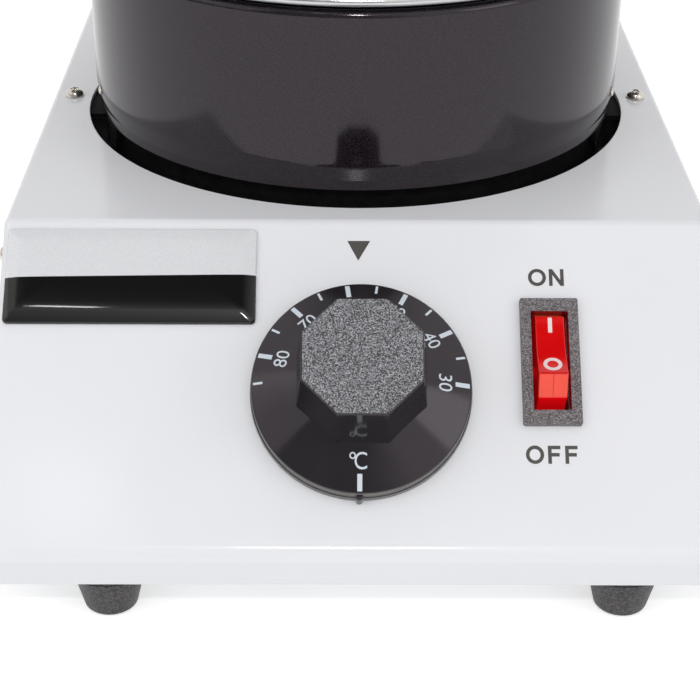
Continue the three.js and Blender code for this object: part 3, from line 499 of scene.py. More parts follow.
punches = [punch(screw_hole, at(side * deck_screw_x, deck_screw_y, deck_z)) for side in (-1, 1)]
punches.append(punch(spindle_hole, dial_place))
for side in (-1, 1):
    punches.append(punch(screw_hole, dial_place @ at(side * plate_screw_x, 0, 0)))
switch_hole = slab("switch_cutter", oblong(0.0129, 0.0308, 0.0006, 3), -punch_reach, punch_reach)
punches.append(moved(switch_hole, switch_place))
for end, hand in corners:
    x, y, z = centre_of(f"side_screw_{end}_{hand}")
    punches.append(punch(tapped_hole, at(math.copysign(high.x, x), y, z) @ sideways))
for level, hand in back_corners:
    x, y, z = centre_of(f"back_screw_{level}_{hand}")
    punches.append(punch(tapped_hole, at(x, flange_y, z) @ Matrix.Rotation(math.pi / 2, 4, "X")))
cut_with(cover, joined(opening, *punches))
smoothed(cover)
white_coat = finish(
    "white_coat", (0.805, 0.81, 0.83), (0.82, 0.825, 0.845), (0.14, 0.18), 30, 420, 0.000002,
)
tuned(white_coat, {"Specular IOR Level": 0.4})
dressed(cover, white_coat, "housing", "white_paint", "top_cover")


# Back panel: a flat sheet screwed inside the cover's rear flanges, coated like the cover, with a
# cut-out for the power inlet. It closes the rear.
def redo(node, material):
    coated(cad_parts[node], material)


redo("back_panel", white_coat)


# Tray: galvanised sheet folded up at the sides, inside the cover. It carries the feet, and its
# bottom shows under the pot with the large pale crystals of the zinc.
def cells(tree, scale, coordinates):
    crystal = tree.nodes.new("ShaderNodeTexVoronoi")
    crystal.inputs["Scale"].default_value = scale
    tree.links.new(coordinates, crystal.inputs["Vector"])
    grey = tree.nodes.new("ShaderNodeSeparateColor")
    tree.links.new(crystal.outputs["Color"], grey.inputs[0])
    return grey.outputs[0]


zinc = finish("zinc", (0.42, 0.43, 0.44), (0.56, 0.57, 0.58), (0.36, 0.5), 90, 500, 0.000006, 1.0)
tree = zinc.node_tree
crystals = cells(tree, 140, on_piece(tree))
coloured(tree, crystals, (0.40, 0.41, 0.42), (0.60, 0.61, 0.62))
led(tree, between(tree, crystals, 0.34, 0.5), "Roughness")
redo("chassis_tray", zinc)


# Feet: four short cones of black rubber, pressed in a mould, with a rounded bottom edge and a
# recess for the screw that goes up into the tray.
foot_top, foot_seat = 0.0117, 0.006
foot_bore, foot_recess = 0.0018, 0.0034
foot_radius_bottom, foot_round = 0.0062, 0.0014
foot_radius_top, foot_neck = 0.00906, 0.00035
foot_side = foot_radius_top - 0.0003


def sparkling(name, dark, light, grain, rough):
    """Rubber or plastic from an etched mould: tiny flat facets, some painted lighter as glints of
    the light they catch.
    """
    material = finish(name, dark, light, rough, 100, grain, 0.00012)
    tree = material.node_tree
    facets = cells(tree, grain * 1.15, on_piece(tree))
    coloured(tree, between(tree, facets, 0, 1, 0.35, 1.0), dark, light)
    return material


def copied(piece, name, matrix):
    twin = piece.copy()
    twin.data = piece.data.copy()
    twin.name = twin.data.name = name
    bpy.context.scene.collection.objects.link(twin)
    return moved(twin, matrix)


rubber = sparkling("rubber", (0.017, 0.0155, 0.017), (0.105, 0.096, 0.102), 2700, (0.42, 0.56))
foot = turned("foot", rounded([
    (foot_bore, foot_top, 0), (foot_bore, foot_seat, 0.0002), (foot_recess, foot_seat, 0.0003),
    (foot_recess, 0, 0.0004), (foot_radius_bottom, 0, foot_round),
    (foot_side, foot_top - 0.0012, 0.00025), (foot_side - foot_neck, foot_top - 0.00105, 0.0001),
    (foot_radius_top - foot_neck, foot_top, 0),
], 6, True), 64, loop=True)
for end, hand in corners:
    name = f"foot_{end}_{hand}"
    x, y, z = centre_of(name)
    twin = copied(foot, f"rubber_{name}", at(x, y, 0))
    smoothed(twin, 40, False)
    dressed(twin, rubber, "housing", "rubber", name)
bpy.data.objects.remove(foot)


# Screws: pan heads of nickel-plated steel with a pressed cross recess. Each size is made once,
# standing on its seat with the shank down, and copied to its places.
nickel = finish(
    "nickel", (0.60, 0.555, 0.49), (0.70, 0.66, 0.60), (0.2, 0.3), 900, 5200, 0.000006, 1.0,
)


def scaled(across, along, z):
    bpy.ops.transform.resize(value=(across, along, 1), center_override=(0, 0, z))


def crossed(screw, half_long, half_wide, low, high, narrower=(1, 1)):
    """The pressed cross: two bars cut out of the head, narrower at the bottom."""
    for quarter_turn in (0, 1):
        arm = new_block("arm", (-half_long, -half_wide, low), (half_long, half_wide, high))
        edit(arm)
        pick(arm, "faces", lambda f: f.normal.z < -0.9)
        scaled(*narrower, low)
        done()
        cut_with(screw, moved(arm, Matrix.Rotation(quarter_turn * math.pi / 2, 4, "Z")))
    smoothed(screw, 30, False)
    return screw


def pan_screw(name, shank, head, height, reach):
    arc = [math.radians(degrees) for degrees in range(0, 90, 10)]
    screw = turned(name, [
        (0, -reach), (shank * 0.55, -reach), (shank, -reach + shank * 0.5), (shank, 0),
        (head * 0.96, 0), (head, 0.04 * height), (head, 0.13 * height), (head * 0.97, 0.17 * height),
        *[(0.93 * head * math.cos(a), height * (0.2 + 0.8 * math.sin(a))) for a in arc],
        (0, height),
    ], 48)
    return crossed(screw, 0.6 * head, 0.13 * head, 0.25 * height, 1.4 * height, (0.5, 0.6))


def screwed_in(model, seats, body="housing"):
    """One copy of the screw for each seat. The model itself is thrown away."""
    for node, seat, turn in seats:
        twin = copied(model, f"head_{node}", seat @ Matrix.Rotation(turn, 4, "Z"))
        dressed(twin, nickel, body, "nickel", node)
    bpy.data.objects.remove(model)


gap, seat_gap = 0.0003, 0.00006
upside_down = Matrix.Rotation(math.pi, 4, "X")
screwed_in(pan_screw("deck_screw", 0.0014, 0.0027, 0.0023, 0.0057), [
    (f"deck_screw_{hand}", at(side * deck_screw_x, deck_screw_y, deck_z + seat_gap), turn)
    for (hand, side), turn in zip(hands, (0.35, 0.62))
])

jacket_radius = 0.07365
wall_screw_turn, wall_screw_rise = 0.3, 0.0103
wall_ways = [
    (f"wall_screw_{end}_{hand}", (0 if side > 0 else math.pi) + side * turn * wall_screw_turn)
    for hand, side in hands for end, turn in (("front", -1), ("rear", 1))
]


def on_wall(way, reach=0.0):
    """A place level with the wall screws, looking outwards from the middle of the jacket."""
    level = at(0, 0, deck_z + wall_screw_rise) @ Matrix.Rotation(way, 4, "Z")
    return level @ at(reach, 0, 0) @ sideways


screwed_in(pan_screw("wall_screw", 0.0006, 0.00115, 0.0006, 0.0041), [
    (node, over_opening @ on_wall(way, jacket_radius + seat_gap), 0.5 * way)
    for node, way in wall_ways
])

half_width, rear_face = 0.0875, 0.11785
side_screw_z = deck_z - 0.009
seats = []
for end, y, turn in (("front", bend_y - 0.001, 0.4), ("rear", rear_face - 0.020, 0.9)):
    for hand, side in hands:
        seat = at(side * (half_width + seat_gap), y, side_screw_z)
        seat = seat @ Matrix.Rotation(side * math.pi / 2, 4, "Y")
        seats.append((f"side_screw_{end}_{hand}", seat, turn * side))
screwed_in(pan_screw("side_screw", 0.00125, 0.0023, 0.0016, 0.0032), seats)

seats = []
for level, hand in back_corners:
    x, y, z = centre_of(f"back_screw_{level}_{hand}")
    seat = at(x, rear_face + seat_gap, z) @ Matrix.Rotation(-math.pi / 2, 4, "X")
    seats.append((f"back_screw_{level}_{hand}", seat, 0.3 + z * 9))
screwed_in(pan_screw("back_screw", 0.00125, 0.0025, 0.0016, 0.0034), seats)

seats = []
for end, hand in corners:
    x, y, z = centre_of(f"foot_screw_{end}_{hand}")
    seats.append((f"foot_screw_{end}_{hand}", at(x, y, foot_seat - gap) @ upside_down, 0.7))
screwed_in(pan_screw("foot_screw", 0.0015, 0.0029, 0.002, 0.0106), seats)

screwed_in(pan_screw("plate_screw", 0.0014, 0.0027, 0.0015, 0.0048), [
    (f"thermostat_screw_{hand}", dial_place @ at(side * plate_screw_x, 0, gap), 0.2)
    for hand, side in hands
])

lid_top = 0.1373
lid_seat = at(0, opening_y, lid_top - gap) @ upside_down
screw = pan_screw("lid_screw", 0.0019, 0.0036, 0.0016, 0.0101)
screwed_in(screw, [("lid_screw", lid_seat, 0)], "lid")


# Jacket: a drum of sheet steel, its lowest 8 mm leaning in and its top turned in under the well's
# flange. It is sprayed satin black and stands on two brackets, a few millimetres above the deck.
jacket_inside, jacket_mouth = jacket_radius - 0.002, 0.0667
jacket_low, jacket_high = deck_z + 0.0032, deck_z + 0.0032 + 0.0468
jacket_under = jacket_high - 0.002
lean_high, lean_step, lean_steps, lean_growth, lean_most = 0.0082, 0.0005, 13, 2.5, 10
jacket_side, lean = [], 0
for step in range(lean_steps):
    jacket_side.append((jacket_radius - lean, jacket_low + lean_high - lean_step * step))
    lean += lean_step * math.tan(math.radians(min(lean_most, lean_growth * (step + 0.5))))
jacket = turned("jacket_drum", [
    (jacket_inside, jacket_low), (jacket_side[-1][0], jacket_low), *jacket_side[::-1],
] + rounded([
    (jacket_radius, jacket_low + 0.03, 0), (jacket_radius, jacket_high, 0.002),
    (jacket_mouth, jacket_high, 0.0003), (jacket_mouth, jacket_under, 0.0003),
    (jacket_inside, jacket_under, 0), (jacket_inside, jacket_low + 0.01, 0),
], 6), 192, loop=True)
bores = [moved(rod("bore", 0.0009, 0.068, 0.078, 24), on_wall(way)) for node, way in wall_ways]
cut_with(jacket, joined(*bores))
moved(jacket, over_opening)
smoothed(jacket)
satin_black = finish(
    "satin_black", (0.0050, 0.0040, 0.0050), (0.0075, 0.0062, 0.0075), (0.09, 0.13), 40, 3200,
    0.0000015,
)
tuned(satin_black, {"Specular IOR Level": 0.46, "Specular Tint": (1.0, 0.91, 0.99, 1)})
tree = satin_black.node_tree
specks = between(tree, noise(tree, 3400, 1, on_piece(tree)), 0, 1)
coloured(tree, specks, (0.0006, 0.0002, 0.0006), (0.019, 0.0145, 0.019))
dressed(jacket, satin_black, "housing", "black_satin", "jacket")
matt_black = finish(
    "matt_black", (0.003, 0.003, 0.003), (0.005, 0.005, 0.005), (0.7, 0.8), 60, 1500, 0.00002,
)
tuned(matt_black, {"Specular IOR Level": 0.15})
for hand, side in hands:
    redo(f"jacket_bracket_{hand}", matt_black)


# Heated well, lift-out pan and lid: stainless sheet spun on a lathe, so the polish runs in fine
# rings round the middle. The well hangs by its flange, and the pan by its rolled rim.
spun_steel = new_material("spun_steel")
tuned(spun_steel, {"Metallic": 1.0})
tree = spun_steel.node_tree
place = tree.nodes.new("ShaderNodeMapping")
place.inputs["Location"].default_value = (0, -opening_y, 0)
tree.links.new(on_piece(tree), place.inputs["Vector"])
parts = tree.nodes.new("ShaderNodeSeparateXYZ")
tree.links.new(place.outputs["Vector"], parts.inputs[0])
flat = tree.nodes.new("ShaderNodeCombineXYZ")
tree.links.new(parts.outputs["X"], flat.inputs["X"])
tree.links.new(parts.outputs["Y"], flat.inputs["Y"])
reach = tree.nodes.new("ShaderNodeVectorMath")
reach.operation = "LENGTH"
tree.links.new(flat.outputs[0], reach.inputs[0])
ring = tree.nodes.new("ShaderNodeCombineXYZ")
tree.links.new(reach.outputs["Value"], ring.inputs["X"])
tree.links.new(parts.outputs["Z"], ring.inputs["Z"])
lines = noise(tree, 2400, 2, ring.outputs[0])
cloud = noise(tree, 35, 3, place.outputs["Vector"])
coloured(tree, between(tree, cloud, 0, 1), (0.52, 0.52, 0.53), (0.62, 0.62, 0.63))
led(tree, between(tree, lines, 0.2, 0.34), "Roughness")
embossed(tree, lines, 0.000008)

well_radius, well_floor, well_wall = 0.066, 0.0398, 0.0012
well_flange, well_top = 0.0714, 0.1273
well = turned("well", rounded([
    (0, well_floor, 0), (well_radius, well_floor, 0.006),
    (well_radius, well_top - well_wall, 0.0008), (well_flange, well_top - well_wall, 0.0003),
    (well_flange, well_top, 0.0003), (well_radius - well_wall, well_top, 0.0016),
    (well_radius - well_wall, well_floor + well_wall, 0.0048), (0, well_floor + well_wall, 0),
], 8), 160)
smoothed(moved(well, over_opening))
dressed(well, spun_steel, "housing", "spun_steel", "heating_vessel")

pan_radius, pan_floor, pan_wall = 0.0643, 0.0428, 0.0008
rim_radius, rim_z, bead = 0.0734, 0.1276, 0.0012
rim_top, bead_start = rim_z + pan_wall, rim_radius - 0.0011
bead_arc = [
    (rim_radius + bead * math.cos(a), rim_z + pan_wall / 2 + bead * math.sin(a))
    for a in [math.radians(degrees) for degrees in range(-150, 151, 20)]
]
pan = turned("pan_shell", rounded([
    (0, pan_floor, 0), (pan_radius, pan_floor, 0.008), (pan_radius, rim_z, 0.0012),
    (bead_start, rim_z, 0),
], 8) + bead_arc + rounded([
    (bead_start, rim_top, 0), (pan_radius - pan_wall, rim_top, 0.002),
    (pan_radius - pan_wall, pan_floor + pan_wall, 0.0072), (0, pan_floor + pan_wall, 0),
], 8), 192)
smoothed(moved(pan, over_opening))
dressed(pan, spun_steel, "pan", "spun_steel", "pan")

lid_rim, lid_edge, lid_sheet, lid_bore = 0.1287, 0.071, 0.0008, 0.0022
groove_out, groove_in, groove_z = 0.0628, 0.0598, 0.1257
shoulder_r, shoulder_z, crown = 0.0573, 0.1337, 0.0036
dome = [
    (shoulder_r * share, shoulder_z + crown * (1 - share * share))
    for share in [1 - step / 12 for step in range(12)]
]
under = rounded([
    (lid_edge, lid_rim, 0), (groove_out, lid_rim, 0.0006), (groove_out, groove_z, 0.0009),
    (groove_in, groove_z, 0.0009), (*dome[0], 0),
], 5) + dome[1:] + [(lid_bore, lid_top)]
over = rounded([
    (lid_edge, lid_rim + lid_sheet, 0), (groove_out - lid_sheet, lid_rim + lid_sheet, 0.001),
    (groove_out - lid_sheet, groove_z + lid_sheet, 0.0006),
    (groove_in + lid_sheet * 0.7, groove_z + lid_sheet, 0.0006),
    (shoulder_r + 0.0005, shoulder_z + lid_sheet, 0),
], 5) + [(r, z + lid_sheet) for r, z in dome[1:]] + [(lid_bore, lid_top + lid_sheet)]
lid = turned("lid_sheet", under + over[::-1], 192, loop=True)
smoothed(moved(lid, over_opening))
dressed(lid, spun_steel, "lid", "spun_steel", "lid")


# Knob of the lid: turned black phenolic, waisted for the fingers, with one screw up into it from
# under the lid.
knob_low, knob_waist, knob_wide = 0.1384, 0.0062, 0.013
knob_top, knob_bore_top = knob_low + 0.017, knob_low + 0.011
glossy_black = finish(
    "glossy_black", (0.012, 0.012, 0.013), (0.017, 0.017, 0.018), (0.12, 0.2), 60, 900, 0.000008,
)
knob = turned("knob", rounded([
    (0, knob_bore_top, 0), (lid_bore, knob_bore_top, 0), (lid_bore, knob_low, 0.0002),
    (0.008, knob_low, 0.0005), (knob_waist, knob_low + 0.00567, 0.004),
    (knob_wide, knob_low + 0.01133, 0.0012), (knob_wide, knob_low + 0.01417, 0.0016),
    (knob_waist, knob_top, 0.004), (0, knob_top, 0),
], 8), 96)
smoothed(moved(knob, over_opening))
dressed(knob, glossy_black, "lid", "black_plastic", "lid_knob")


# Heater band and felt wrap: a silicone rubber heater strapped round the well, and a black needle
# felt over it that keeps the heat off the jacket. The felt's near-black colour is partly painted
# shade, for the dark gap round the jacket.
silicone = finish(
    "silicone", (0.33, 0.055, 0.025), (0.42, 0.075, 0.035), (0.5, 0.65), 80, 1900, 0.00005,
)
felt = finish(
    "felt", (0.004, 0.004, 0.004), (0.009, 0.0085, 0.0085), (0.85, 0.98), 300, 1600, 0.0003,
)
tuned(felt, {"Specular IOR Level": 0.1})
redo("heater_band", silicone)
redo("insulation_wrap", felt)


# Thermostat and its parts behind the slope: a grey moulded body, a brass spindle, a copper bulb
# with its tube under the well, and the steel clip that holds the bulb. The switch's brass
# terminals and the five leads lie there too.
grey_moulding = finish(
    "grey_moulding", (0.085, 0.083, 0.084), (0.115, 0.112, 0.113), (0.5, 0.62), 120, 1700, 0.00003,
)
brass = finish(
    "brass", (0.55, 0.38, 0.13), (0.68, 0.49, 0.19), (0.22, 0.36), 240, 2300, 0.000006, 1.0,
)
copper = finish(
    "copper", (0.52, 0.22, 0.12), (0.66, 0.31, 0.18), (0.24, 0.4), 240, 2300, 0.000006, 1.0,
)
lead_cover = finish(
    "lead_cover", (0.36, 0.060, 0.030), (0.46, 0.085, 0.040), (0.45, 0.6), 150, 1300, 0.00002,
)
redo("thermostat_body", grey_moulding)
redo("thermostat_spindle", brass)
redo("sensor_bulb", copper)
redo("capillary_tube", copper)
redo("bulb_clip", spun_steel)
for step in (1, 2, 3):
    redo(f"switch_terminal_{step}", brass)
for lead in ("live", "switched", "heater", "neutral", "earth"):
    redo(f"lead_{lead}", lead_cover)


# Dial: black phenolic with a polished rim and cone, and an eight-sided grip with a grained top.
# It is pushed on the spindle, and a small nub marks its bottom.
dial_radius, dial_draft, rim_low, rim_top = 0.0265, 0.0003, 0.0003, 0.005
dial_bore, boss_radius, hollow_radius, hollow_top = 0.0033, 0.0051, 0.0242, 0.0038
cone_radius, cone_top = 0.0148, 0.01027
grip_base, grip_end, grip_height, bore_top = 0.0312, 0.0277, 0.0271, 0.0203
nub_radius, nub_x, nub_top = 0.0009, -0.00048, rim_top - 0.0006
disc = turned("dial_disc", rounded([
    (dial_bore, rim_low, 0), (boss_radius, rim_low, 0.0002), (boss_radius, hollow_top, 0.0003),
    (hollow_radius, hollow_top, 0.0003), (hollow_radius, rim_low, 0.0002),
    (dial_radius, rim_low, 0.0003), (dial_radius - 0.0001, 0.0021, 0.0002),
    (dial_radius - 0.0004, 0.0023, 0.0002), (dial_radius - dial_draft, rim_top, 0.0008),
    (cone_radius, cone_top, 0.0003), (dial_bore, cone_top, 0),
], 5, True), 160, loop=True)


def eight_sided(name, across_low, across_high, low, high):
    corner = math.cos(math.pi / 8)
    deselect()
    bpy.ops.mesh.primitive_cone_add(
        vertices=8, radius1=across_low / 2 / corner, radius2=across_high / 2 / corner,
        depth=high - low, location=(0, 0, (low + high) / 2), rotation=(0, 0, math.pi / 8),
    )
    bpy.ops.object.transform_apply(location=True, rotation=True, scale=True)
    return named(name)


def top_rim(edge):
    walls = [face for face in edge.link_faces if abs(face.normal.z) < 0.5]
    return len(walls) == 1 and all(v.co.z > grip_height - 1e-5 for v in edge.verts)


grip = eight_sided("grip", grip_base, grip_end, rim_top, grip_height)
edit(grip)
pick(grip, "edges", lambda e: abs(e.verts[0].co.z - e.verts[1].co.z) > 0.01)
bpy.ops.mesh.bevel(offset=0.00045, segments=4, profile=0.5)
pick(grip, "faces", lambda f: f.normal.z > 0.9)
bpy.ops.mesh.inset(thickness=0.00032)
pick(grip, "edges", top_rim)
bpy.ops.transform.translate(value=(0, 0, -0.0003))
bpy.ops.mesh.bevel(offset=0.00014, segments=3, profile=0.5)
done()
fused(disc, grip)
nub = turned("nub", rounded([
    (0, rim_low, 0), (nub_radius, rim_low, 0.0001), (nub_radius, nub_top, 0.0005), (0, nub_top, 0),
], 4), 24)
fused(disc, moved(nub, at(nub_x, -dial_radius, 0)))
cut_with(disc, rod("spindle_bore", dial_bore, -0.001, bore_top, 48))
smoothed(disc, 28)
dial_black = finish(
    "dial_black", (0.0125, 0.0105, 0.0125), (0.017, 0.0145, 0.017), (0.08, 0.12), 90, 3600,
    0.000005,
)
tuned(dial_black, {"Specular Tint": (1.0, 0.90, 0.99, 1)})
grained_top = sparkling("grained_top", (0.02, 0.02, 0.022), (0.49, 0.49, 0.52), 4700, (0.34, 0.42))
# The rim's side wall is painted a lighter grey: a painted sheen for the white surroundings it
# reflects.
rim_painted_sheen = finish(
    "rim_painted_sheen", (0.10, 0.098, 0.092), (0.16, 0.155, 0.145), (0.3, 0.4), 240, 2800, 0.00001,
)
dressed(disc, dial_black, "dial", "black_plastic", "control_dial")
disc.data.materials.append(grained_top)
disc.data.materials.append(rim_painted_sheen)
for face in disc.data.polygons:
    reach = math.hypot(face.center.x, face.center.y)
    if face.normal.z > 0.95 and face.center.z > grip_height - 0.0001:
        face.material_index = 1
    elif abs(face.normal.z) < 0.6 and dial_radius - 0.001 < reach < dial_radius + 0.0001:
        face.material_index = 2


# Printing: the dial's ticks, numerals and degree sign are pad-printed in pale ink, and the pointer
# and the words by the switch in dark ink. Each is a film of ink, 0.03 mm thick, on its surface.
ink_film, ink_lift = 0.00003, 0.00001


def ink(name, colour, rough):
    dark = tuple(0.94 * c for c in colour)
    return finish(name, dark, colour, (rough, rough + 0.1), 400, 4000, 0.000004)


def flat_mark(name, wide, long, corner, steps, cuts=0):
    mark = slab(name, oblong(wide, long, corner, steps), 0, ink_lift)
    edit(mark)
    pick(mark, "faces", lambda f: f.normal.z < 0.5)
    bpy.ops.mesh.delete(type="FACE")
    if cuts:
        all_of_it()
        bpy.ops.mesh.subdivide(number_cuts=cuts)
    done()
    return mark


def word(name, letters, height, width):
    curve = bpy.data.curves.new(name, "FONT")
    curve.body = letters
    curve.align_x = curve.align_y = "CENTER"
    curve.resolution_u = 6
    text = bpy.data.objects.new(name, curve)
    bpy.context.scene.collection.objects.link(text)
    alone(text)
    bpy.ops.object.convert(target="MESH")
    text = bpy.context.object
    xs = [v.co.x for v in text.data.vertices]
    ys = [v.co.y for v in text.data.vertices]
    moved(text, at(-(min(xs) + max(xs)) / 2, -(min(ys) + max(ys)) / 2, 0))
    moved(text, Matrix.Diagonal((width / (max(xs) - min(xs)), height / (max(ys) - min(ys)), 1, 1)))
    edit(text)
    all_of_it()
    bpy.ops.mesh.remove_doubles(threshold=1e-6)
    done()
    return text


def ring_mark(name, outer_x, outer_y, stroke):
    deselect()
    bpy.ops.mesh.primitive_circle_add(vertices=48, radius=1)
    ring = named(name)
    edit(ring)
    all_of_it()
    scaled(outer_x, outer_y, 0)
    pull((0, 0, 0))
    scaled((outer_x - stroke) / outer_x, (outer_y - stroke) / outer_y, 0)
    outwards()
    if ring.data.polygons[0].normal.z < 0:
        ring.data.flip_normals()
    return ring


def inked(marks, target):
    """Marks that are laid down on a surface from above and given their thickness."""
    film = moved(joined(*marks), at(0, 0, 0.03))
    worked(film, "SHRINKWRAP", target=target, wrap_method="PROJECT", use_project_z=True,
           use_negative_direction=True, use_positive_direction=False, use_project_x=False,
           use_project_y=False, offset=0.00004)
    worked(film, "SOLIDIFY", thickness=ink_film, offset=-1)
    return film


first_tick, tick_step, tick_outer, figure_y = 90.0, 16.27, 0.02555, 0.0197
marks = []
for step, degrees in enumerate(range(30, 90, 5)):
    turn = Matrix.Rotation(-math.radians(first_tick - step * tick_step), 4, "Z")
    big = degrees % 10 == 0
    inner, wide = (0.0221, 0.00112) if big else (0.0233, 0.00058)
    tick = flat_mark("tick", wide, tick_outer - inner, 0.00005, 1)
    marks.append(moved(tick, turn @ at(0, (inner + tick_outer) / 2, 0)))
    if big:
        figure = word("figure", str(degrees), 0.0032, 0.0041)
        marks.append(moved(figure, turn @ at(0, figure_y, 0)))
marks.append(moved(flat_mark("tick", 0.00115, 0.0037, 0.00005, 1), at(-0.00043, -0.0237, 0)))
marks.append(moved(word("celsius", "C", 0.0037, 0.0029), at(-0.0002, -0.01905, 0)))
marks.append(moved(ring_mark("ring", 0.00075, 0.00075, 0.0003), at(-0.0021, -0.01795, 0)))
dial_print = inked(marks, disc)
moved(disc, dial_place)
moved(dial_print, dial_place)
dressed(dial_print, ink("pale_ink", (0.66, 0.72, 0.78), 0.4), "dial", "white_paint")

letter_line = 0.00086


def letter_n(w, h):
    line = letter_line
    return [(-w, -h), (-w + line, -h), (-w + line, h - 1.75 * line), (w - line, -h), (w, -h), (w, h),
            (w - line, h), (w - line, -h + 1.75 * line), (-w + line, h), (-w, h)]


def letter_f(w, h):
    line = letter_line
    return [(-w, -h), (-w + line, -h), (-w + line, -0.5 * line), (0.85 * w, -0.5 * line),
            (0.85 * w, 0.5 * line), (-w + line, 0.5 * line), (-w + line, h - line), (w, h - line),
            (w, h), (-w, h)]


pointer_outline = [(0.00301, -0.00535), (0.00005, -0.01061), (-0.00263, -0.00537)]
slope_marks = [slab("pointer", pointer_outline, ink_lift, ink_lift + ink_film)]
for letter, u, v, wide, high in (
    ("O", 0.04373, 0.01489, 0.00440, 0.00452), ("N", 0.04846, 0.01489, 0.00362, 0.00442),
    ("O", 0.04166, 0.05992, 0.00430, 0.00452), ("F", 0.04622, 0.05992, 0.00296, 0.00442),
    ("F", 0.05028, 0.05992, 0.00296, 0.00442),
):
    if letter == "O":
        shape = ring_mark("letter", wide / 2, high / 2, letter_line)
        worked(shape, "SOLIDIFY", thickness=ink_film, offset=1)
        moved(shape, at(0, 0, ink_lift))
    else:
        outline = (letter_n if letter == "N" else letter_f)(wide / 2, high / 2)
        shape = slab("letter", outline, ink_lift, ink_lift + ink_film)
    slope_marks.append(moved(shape, at(u, -v, 0)))
slope_print = moved(joined(*slope_marks), on_slope)
dark_ink = ink("dark_ink", (0.075, 0.068, 0.062), 0.4)
dressed(slope_print, dark_ink, "housing", "grey_plastic")


# Rocker switch: a grained black nylon frame snapped into the slope from the front, with a
# see-through red rocker on a cross pin. A painted glow stands for the light its plastic spreads,
# faint on top, stronger on the ends and strongest on the skirt, which lies in shade.
bezel_wide, bezel_long, bezel_high = 0.014, 0.0319, 0.0019
mouth_wide, mouth_long, mouth_deep = 0.009, 0.025, 0.0026
cavity_x, cavity_y, cavity_low = mouth_wide / 2 - 0.0001, 0.0139, -0.0174
pin_deep, pin_half, axle_half = 0.00764, 0.006155, 0.00585


def eased(piece, top, width, segments):
    """A small bevel round the upper face of a plate."""
    edit(piece)
    pick(piece, "edges", lambda e: all(v.co.z > top - 1e-6 for v in e.verts))
    bpy.ops.mesh.bevel(offset=width, segments=segments, profile=0.5)
    done()


bezel = slab("switch_frame", oblong(bezel_wide, bezel_long, 0.0005, 4), gap, gap + bezel_high)
eased(bezel, gap + bezel_high, 0.0002, 2)
fused(bezel, slab("body", oblong(0.0123, 0.0302, 0.0006, 3), -0.02, gap + 0.0001))
cut_with(bezel, slab("mouth", oblong(mouth_wide, mouth_long, 0.0003, 3), -mouth_deep, 0.006))
cut_with(bezel, new_block(
    "cavity", (-cavity_x, -cavity_y, cavity_low), (cavity_x, cavity_y, -0.0003),
))
pin_bore = rod("pin_bore", 0.0016, -pin_half, pin_half, 24)
cut_with(bezel, moved(pin_bore, at(0, 0, -pin_deep) @ sideways))
smoothed(bezel, 30)
frame_nylon = sparkling(
    "frame_nylon", (0.065, 0.058, 0.061), (0.34, 0.31, 0.32), 4400, (0.42, 0.5),
)
# The frame's mouth walls and the rocker's end seam are painted dark red with a faint glow: a painted
# reflection of the red rocker's light.
painted_red_glow = finish(
    "painted_red_glow", (0.08, 0.002, 0.006), (0.14, 0.004, 0.012), (0.1, 0.16), 300, 2500, 0.000005,
)
tuned(painted_red_glow, {"Emission Color": (1.0, 0.01, 0.03, 1), "Emission Strength": 0.03})
dressed(bezel, frame_nylon, "housing", "grey_plastic", "switch_housing")
bezel.data.materials.append(painted_red_glow)
for face in bezel.data.polygons:
    x, y, z = face.center
    inside = abs(x) < mouth_wide / 2 + 1e-5 and abs(y) < mouth_long / 2 + 1e-5
    if inside and abs(face.normal.z) < 0.3 and z > -mouth_deep - 0.0001:
        face.material_index = 1
moved(bezel, switch_place)

rocker_wide, rocker_half, on_tilt = 0.0070, 0.0119, math.radians(14)
ridge, skirt, toe = rocker_half * 0.676, 0.0113, rocker_half * 0.252
ridge_rise, shoulder_rise, skirt_rise, toe_drop, sag = 0.01257, 0.0076, -0.0008, -0.003, 0.0014
seam = 0.00007
hollow = [
    (ridge * share, ridge_rise - sag * (1 - share * share))
    for share in [1 - step / 9 for step in range(1, 18)]
]
cap = slab("rocker_cap", [
    (-toe, toe_drop), (toe, toe_drop), (skirt, skirt_rise), (rocker_half, shoulder_rise),
    (ridge, ridge_rise), *hollow, (-ridge, ridge_rise), (-rocker_half, shoulder_rise),
    (-skirt, skirt_rise),
], -rocker_wide / 2, rocker_wide / 2)
moved(cap, Matrix(((0, 0, 1, 0), (1, 0, 0, 0), (0, 1, 0, 0), (0, 0, 0, 1))))
worked(
    cap, "BEVEL", width=0.0003, segments=3, limit_method="ANGLE", angle_limit=math.radians(25),
)
fused(cap, moved(rod("axle", 0.0013, -axle_half, axle_half), sideways))
edit(cap)
for x in (-seam, seam):
    all_of_it()
    bpy.ops.mesh.bisect(plane_co=(x, 0, 0), plane_no=(1, 0, 0))
done()
smoothed(cap, 30)


def lens(name, dark, light, glow, strength):
    material = finish(name, dark, light, (0.08, 0.14), 200, 900, 0.000005)
    tuned(material, {
        "Subsurface Weight": 0.2, "Subsurface Radius": (0.004, 0.0004, 0.0003),
        "Emission Color": glow, "Emission Strength": strength,
    })
    return material


